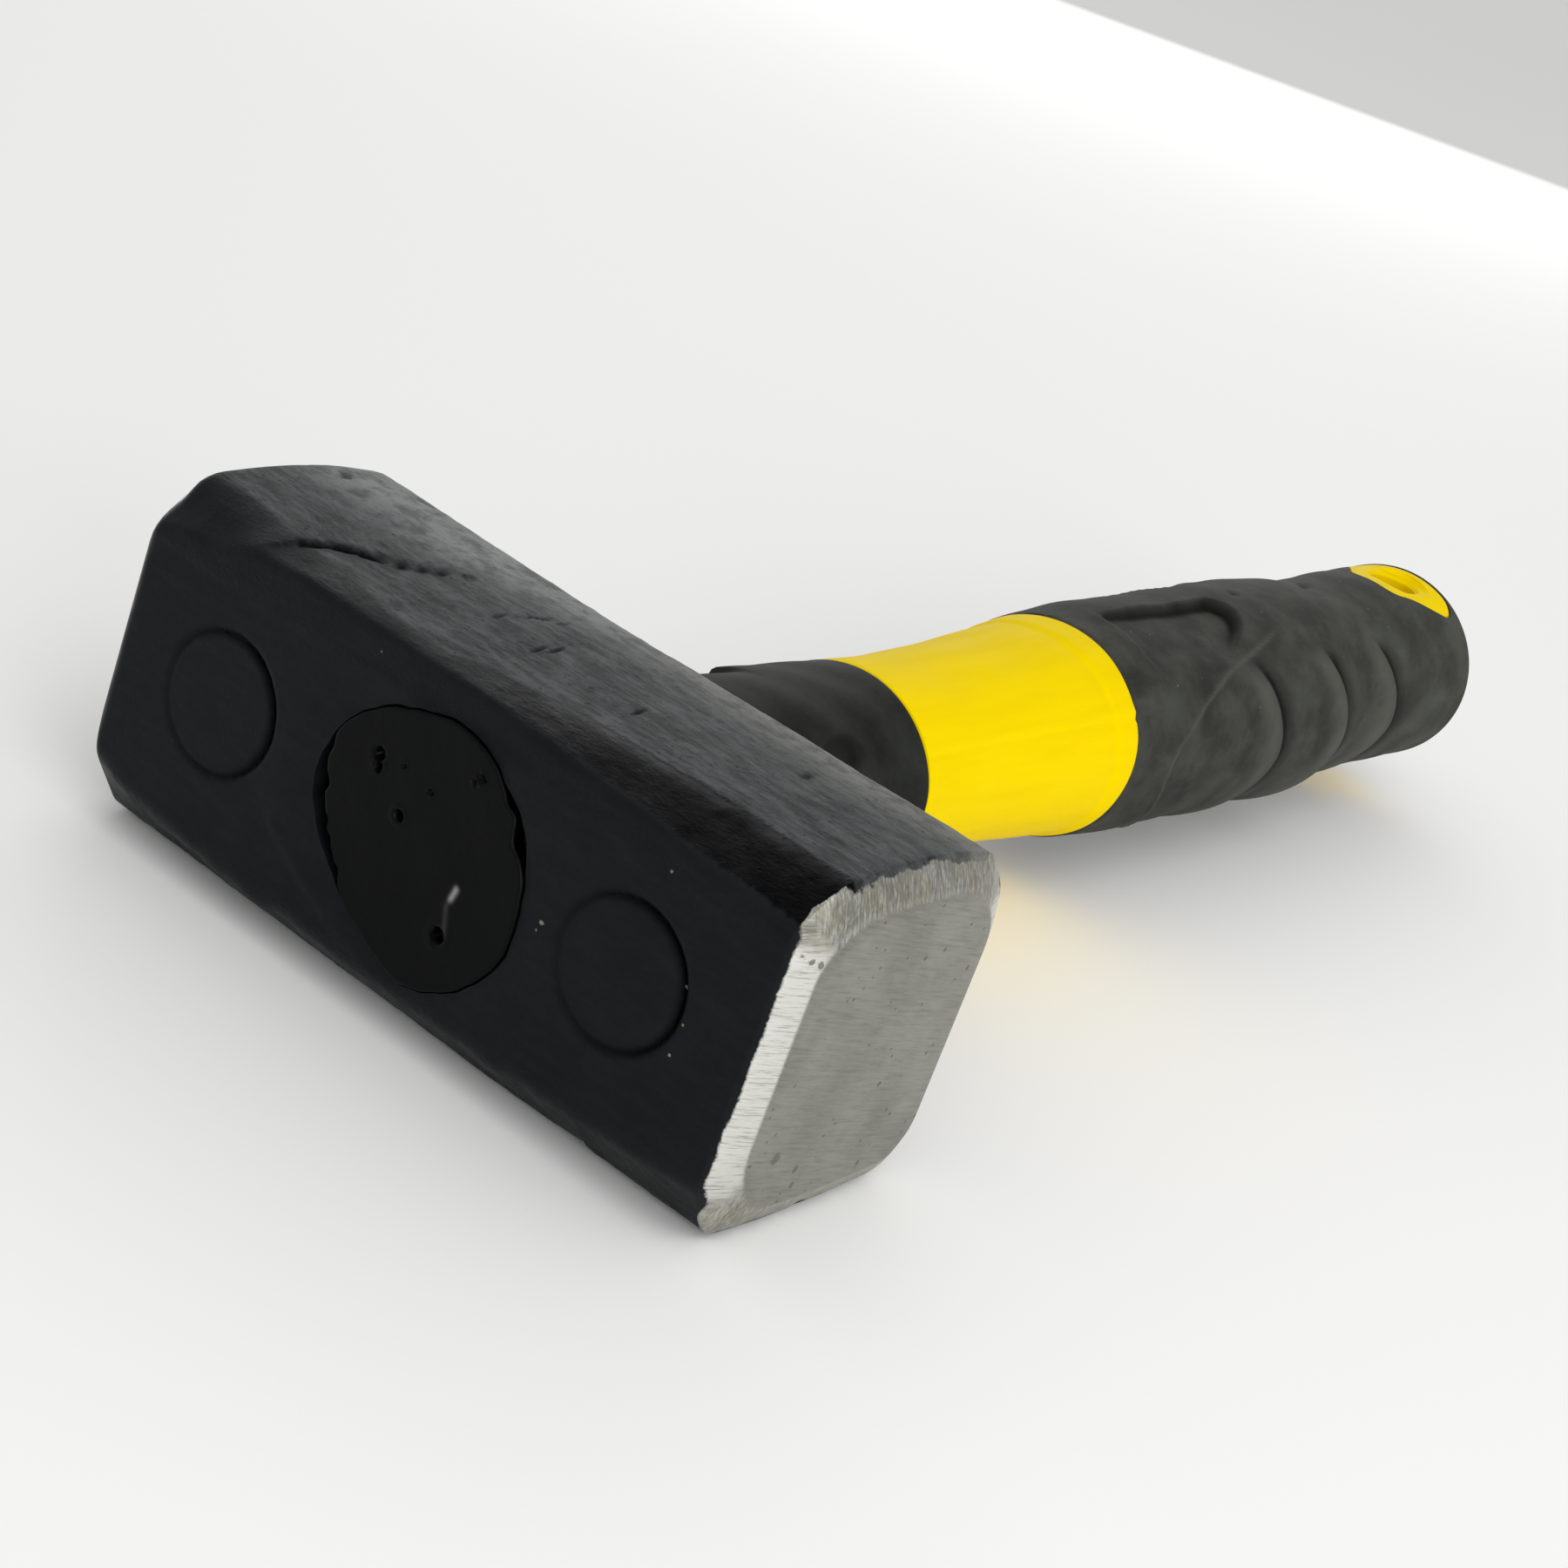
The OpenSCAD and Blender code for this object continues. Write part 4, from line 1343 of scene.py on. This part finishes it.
def makeGrip():
    printStage("grip")
    wall, end = handle["gripWall"], buttEnd
    inner = end - handle["buttWall"]
    rows = [(inner, 0, 0.0), (inner, 10.0, None), (inner, wall, None)]
    rows += [(x, wall, None) for x in spaced(inner - 2, gripStart, 7)]
    rows += [(gripStart, 1.2, None), (gripStart + 0.02, 0.45, None)]
    rows += [(gripStart + 0.3, 0.12, None), (gripStart + 0.75, 0, None)]
    rows += [(x, 0, None) for x in spaced(gripStart + 1.2, end - handle["buttRound"], 0.5)]
    for turn in np.radians(np.linspace(6, 90, 15)):
        back = handle["buttRound"] * (1 - math.cos(turn))
        rows.append((end - handle["buttRound"] * (1 - math.sin(turn)), back, None))
    rows += [(end, d, None) for d in (6.5, 9.0, 12.0, 15.0)]
    rows += [(end, 0, 0.0)]
    piece = makeSleeve("rubberGrip", rows, 236, gripFinish, (150.0, 243.0))
    points = meshPoints(piece.data)
    x, y, z = points.T.copy()
    angle = polar(points)
    wide, high = ovalAt(x)
    outside = ease((np.hypot(y / wide, z / high) - 0.90) / 0.05) * ease((end + 1 - x) / 3)
    push, hollowShade, paintedHighlight = np.zeros(len(x)), np.zeros(len(x)), np.zeros(len(x))
    sine = np.sin(np.radians(angle))
    # painted shade in each step's groove and painted highlight on the swell before it
    for number in range(steps["count"]):
        bend = np.abs(sine + steps["tilt"]) ** steps["bend"]
        line = steps["last"] - number * steps["pitch"] - steps["sweep"] * bend
        sides = np.abs(np.cos(np.radians(angle))) - steps["topLift"] * ease((sine + 0.2) / 0.5)
        sides = ease((sides - steps["sideFrom"]) / steps["sideOver"])
        hollowShade = np.maximum(hollowShade, (0.75 * hump(x - line, 1.3) + 0.45 * hump(x - line - 2.0, 2.8)) * sides)
        paintedHighlight = np.maximum(paintedHighlight, hump(x - line + 5.0, 3.2) * sides)
    # crease on both sides, with a painted highlight along its ridge
    fold = np.where(np.abs(angle) <= 90, angle, np.sign(angle) * (180 - np.abs(angle)))
    places = np.interp(fold, *np.array(grip["crease"], float).T)
    lean = np.abs(np.gradient(np.array([p for _, p in grip["crease"]]), np.array([a for a, _ in grip["crease"]])))
    slope = np.interp(fold, np.array([a for a, _ in grip["crease"]], float), lean) * 57.3 / 18.5
    away = (x - places) / np.sqrt(1 + slope**2)
    shows = ease((66 - fold) / 10) * ease((fold + 58) / 12)
    push += grip["creaseHigh"] * hump(away, 0.50) * shows
    paintedHighlight = np.maximum(paintedHighlight, 1.0 * hump(away, 0.42) * shows)
    push -= 0.26 * ease((away + 0.3) / 0.6) * ease((9 - away) / 9) * shows
    # sunk panels, one over each cheek
    x0, x1, y0, y1 = grip["panel"]
    for sign in (1, -1):
        onTop = ease(sign * z / 6)
        yy = y * sign
        nose = x1 - 5.5 * ((yy - (y0 + y1) / 2 - 1.5) / ((y1 - y0) / 2)) ** 2 - 0.25 * np.maximum(y1 - yy, 0)
        fall = ease((x - x0 + 1.4) / 2.4) * ease((nose - x + 0.9) / 1.8)
        fall = fall * ease((y1 + 0.6 - yy) / 1.2) * ease((yy - y0 + 2.5) / 5.0)
        tail = 0.55 + 0.45 * ease((x - x0) / 14)
        push -= grip["panelDeep"] * fall * tail * onTop
        # painted shadow along the panel's far wall and nose, and painted shade in the dents below
        straight = hump(yy - y1 + 0.5, 0.95) * ease((x - x0 + 0.5) / 1.5) * ease((nose - x + 1.0) / 2.0)
        bend = hump(x - nose + 0.8, 1.4) * ease((y1 - yy + 1.2) / 1.5) * ease((yy - y0 - 0.8) / 4.0)
        hollowShade = np.maximum(hollowShade, np.maximum(straight, bend) * onTop)
        for place, across, long, deep in grip["marks"]:
            slanted = (x - place) / long
            side = (yy - across - 0.25 * (x - place)) / 1.1
            dent = hump(np.hypot(slanted * 2, side), 1.0) * onTop
            push -= 0.55 * deep * dent
            hollowShade = np.maximum(hollowShade, 0.6 * dent)
    # slimmer through the swell than a plain oval, and slightly uneven
    slim, place, spread = grip["slimmer"]
    push -= slim * hump(x - place, spread)
    push += 0.10 * np.sin(x * 0.21 + np.radians(angle) * 2) + 0.07 * np.sin(x * 0.47 - np.radians(angle) * 3 + 1)
    pushOut(points, push * outside)
    # the front edge leans, lower on the sides than on the top
    front = ease((gripStart + 9 - x) / 9)
    points[:, 0] += front * grip["frontLean"] * (np.sin(np.radians(angle)) * 0.9 - 0.75) * (x < gripStart + 9)
    setMeshPoints(piece.data, points)
    turn, reach = windowOutline(0.0)
    rings = [
        np.column_stack([hangPlace + reach * np.cos(turn), reach * np.sin(turn), np.full_like(turn, level)])
        for level in (-25.0, 0.0, 25.0)
    ]
    paint(piece, "hollowShade", hollowShade * outside)
    paint(piece, "paintedHighlight", paintedHighlight * outside * (1 - hollowShade))
    boolean(piece, newPiece("windowTool", ringMesh("windowTool", rings)), "DIFFERENCE")
    return piece


def keepCorners(piece, degrees):
    # smooth shading that leaves sharp edges sharp
    piece.data.set_sharp_from_angle(angle=math.radians(degrees))


head = makeHead()
keepCorners(head, 48)
poolPiece = makePool()
keepCorners(poolPiece, 50)
beads = makeBeads(poolPiece)
seal = makeSeal()
neck = makeGuard()
keepCorners(neck, 55)
jacket = makeJacket()
keepCorners(jacket, 40)
rubber = makeGrip()
keepCorners(rubber, 50)
core = frame["nodes"]["core_rod"]
core.data.materials.clear()
core.data.materials.append(fibreglassFinish)

printStage("joining the pieces to the frame")
for piece, slotName, nodes in (
    (head, "forged_steel", ["head"]),
    (poolPiece, "potting_resin", ["eye_resin"]),
    (beads, "potting_resin", []),
    (seal, "seal_rubber", ["eye_seal"]),
    (neck, "guard_rubber", ["neck_guard"]),
    (jacket, "yellow_plastic", ["jacket"]),
    (rubber, "grip_rubber", ["grip"]),
):
    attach(piece, "root")
    if nodes:
        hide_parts(*nodes)


studio = {
    "floorHalf": 9.0,
    "floorColour": (0.95, 0.95, 0.945, 1.0),
    "floorCloud": (0.93, 0.93, 0.925, 1.0),
    "worldColour": (1.0, 1.0, 0.995, 1.0),
    "worldStrength": 0.64,
    "softboxes": [
        # place, aimed at, size, watts
        ((-0.25, -0.75, 1.05), (0.06, -0.05, 0.0), 1.1, 4.2),
        ((1.25, 0.75, 0.55), (0.02, 0.0, 0.02), 1.1, 4.0),
        ((-0.50, -0.85, 0.28), (0.02, -0.04, 0.02), 0.5, 4.2),
    ],
}


def makeStudio():
    printStage("floor, lights and camera")
    half = studio["floorHalf"]
    work = bmesh.new()
    bmesh.ops.create_grid(work, x_segments=8, y_segments=8, size=half)
    mesh = bpy.data.meshes.new("paleFloor")
    work.to_mesh(mesh)
    work.free()
    floor = newPiece("paleFloor", mesh)
    f = Finish("paleFloorPaint")
    cloud = f.noise(f.place, 0.004, 3.0)
    f.feed(
        Base_Color=f.blend(cloud * 0.3, studio["floorColour"], studio["floorCloud"]),
        Roughness=0.75,
        Specular_IOR_Level=0.2,
    )
    mesh.materials.append(f.material)

    world = bpy.data.worlds.new("softWhiteRoom")
    bpy.context.scene.world = world
    world.use_nodes = True
    background = next(n for n in world.node_tree.nodes if n.type == "BACKGROUND")
    background.inputs["Color"].default_value = studio["worldColour"]
    background.inputs["Strength"].default_value = studio["worldStrength"]

    for number, (place, target, size, watts) in enumerate(studio["softboxes"]):
        light = bpy.data.lights.new(f"softbox{number}", "AREA")
        light.shape = "SQUARE"
        light.size = size
        light.energy = watts
        lamp = bpy.data.objects.new(light.name, light)
        bpy.context.scene.collection.objects.link(lamp)
        lamp.location = place
        lamp.rotation_euler = (Vector(target) - Vector(place)).to_track_quat("-Z", "Y").to_euler()


camera = {
    "aim": (0.0188, -0.0203, 0.0370),
    "distance": 0.3479,
    "azimuth": -60.21,
    "elevation": 20.78,
    "roll": 20.52,
    "lens": 66.0,
    "sensor": 36.0,
}


def makeCamera():
    turn, lift, roll = (math.radians(camera[k]) for k in ("azimuth", "elevation", "roll"))
    back = Vector((math.sin(turn) * math.cos(lift), -math.cos(turn) * math.cos(lift), math.sin(lift)))
    level = Vector((0, 0, 1)).cross(back).normalized()
    upright = back.cross(level)
    right = level * math.cos(roll) + upright * math.sin(roll)
    data = bpy.data.cameras.new("benchCamera")
    data.lens = camera["lens"]
    data.sensor_width = camera["sensor"]
    data.clip_start = 0.01
    data.clip_end = 60
    view = bpy.data.objects.new("benchCamera", data)
    bpy.context.scene.collection.objects.link(view)
    turned = Matrix((right, back.cross(right), back)).transposed().to_4x4()
    view.matrix_world = Matrix.Translation(Vector(camera["aim"]) + back * camera["distance"]) @ turned
    bpy.context.scene.camera = view


makeStudio()
makeCamera()
bpy.context.scene.view_settings.view_transform = "Standard"
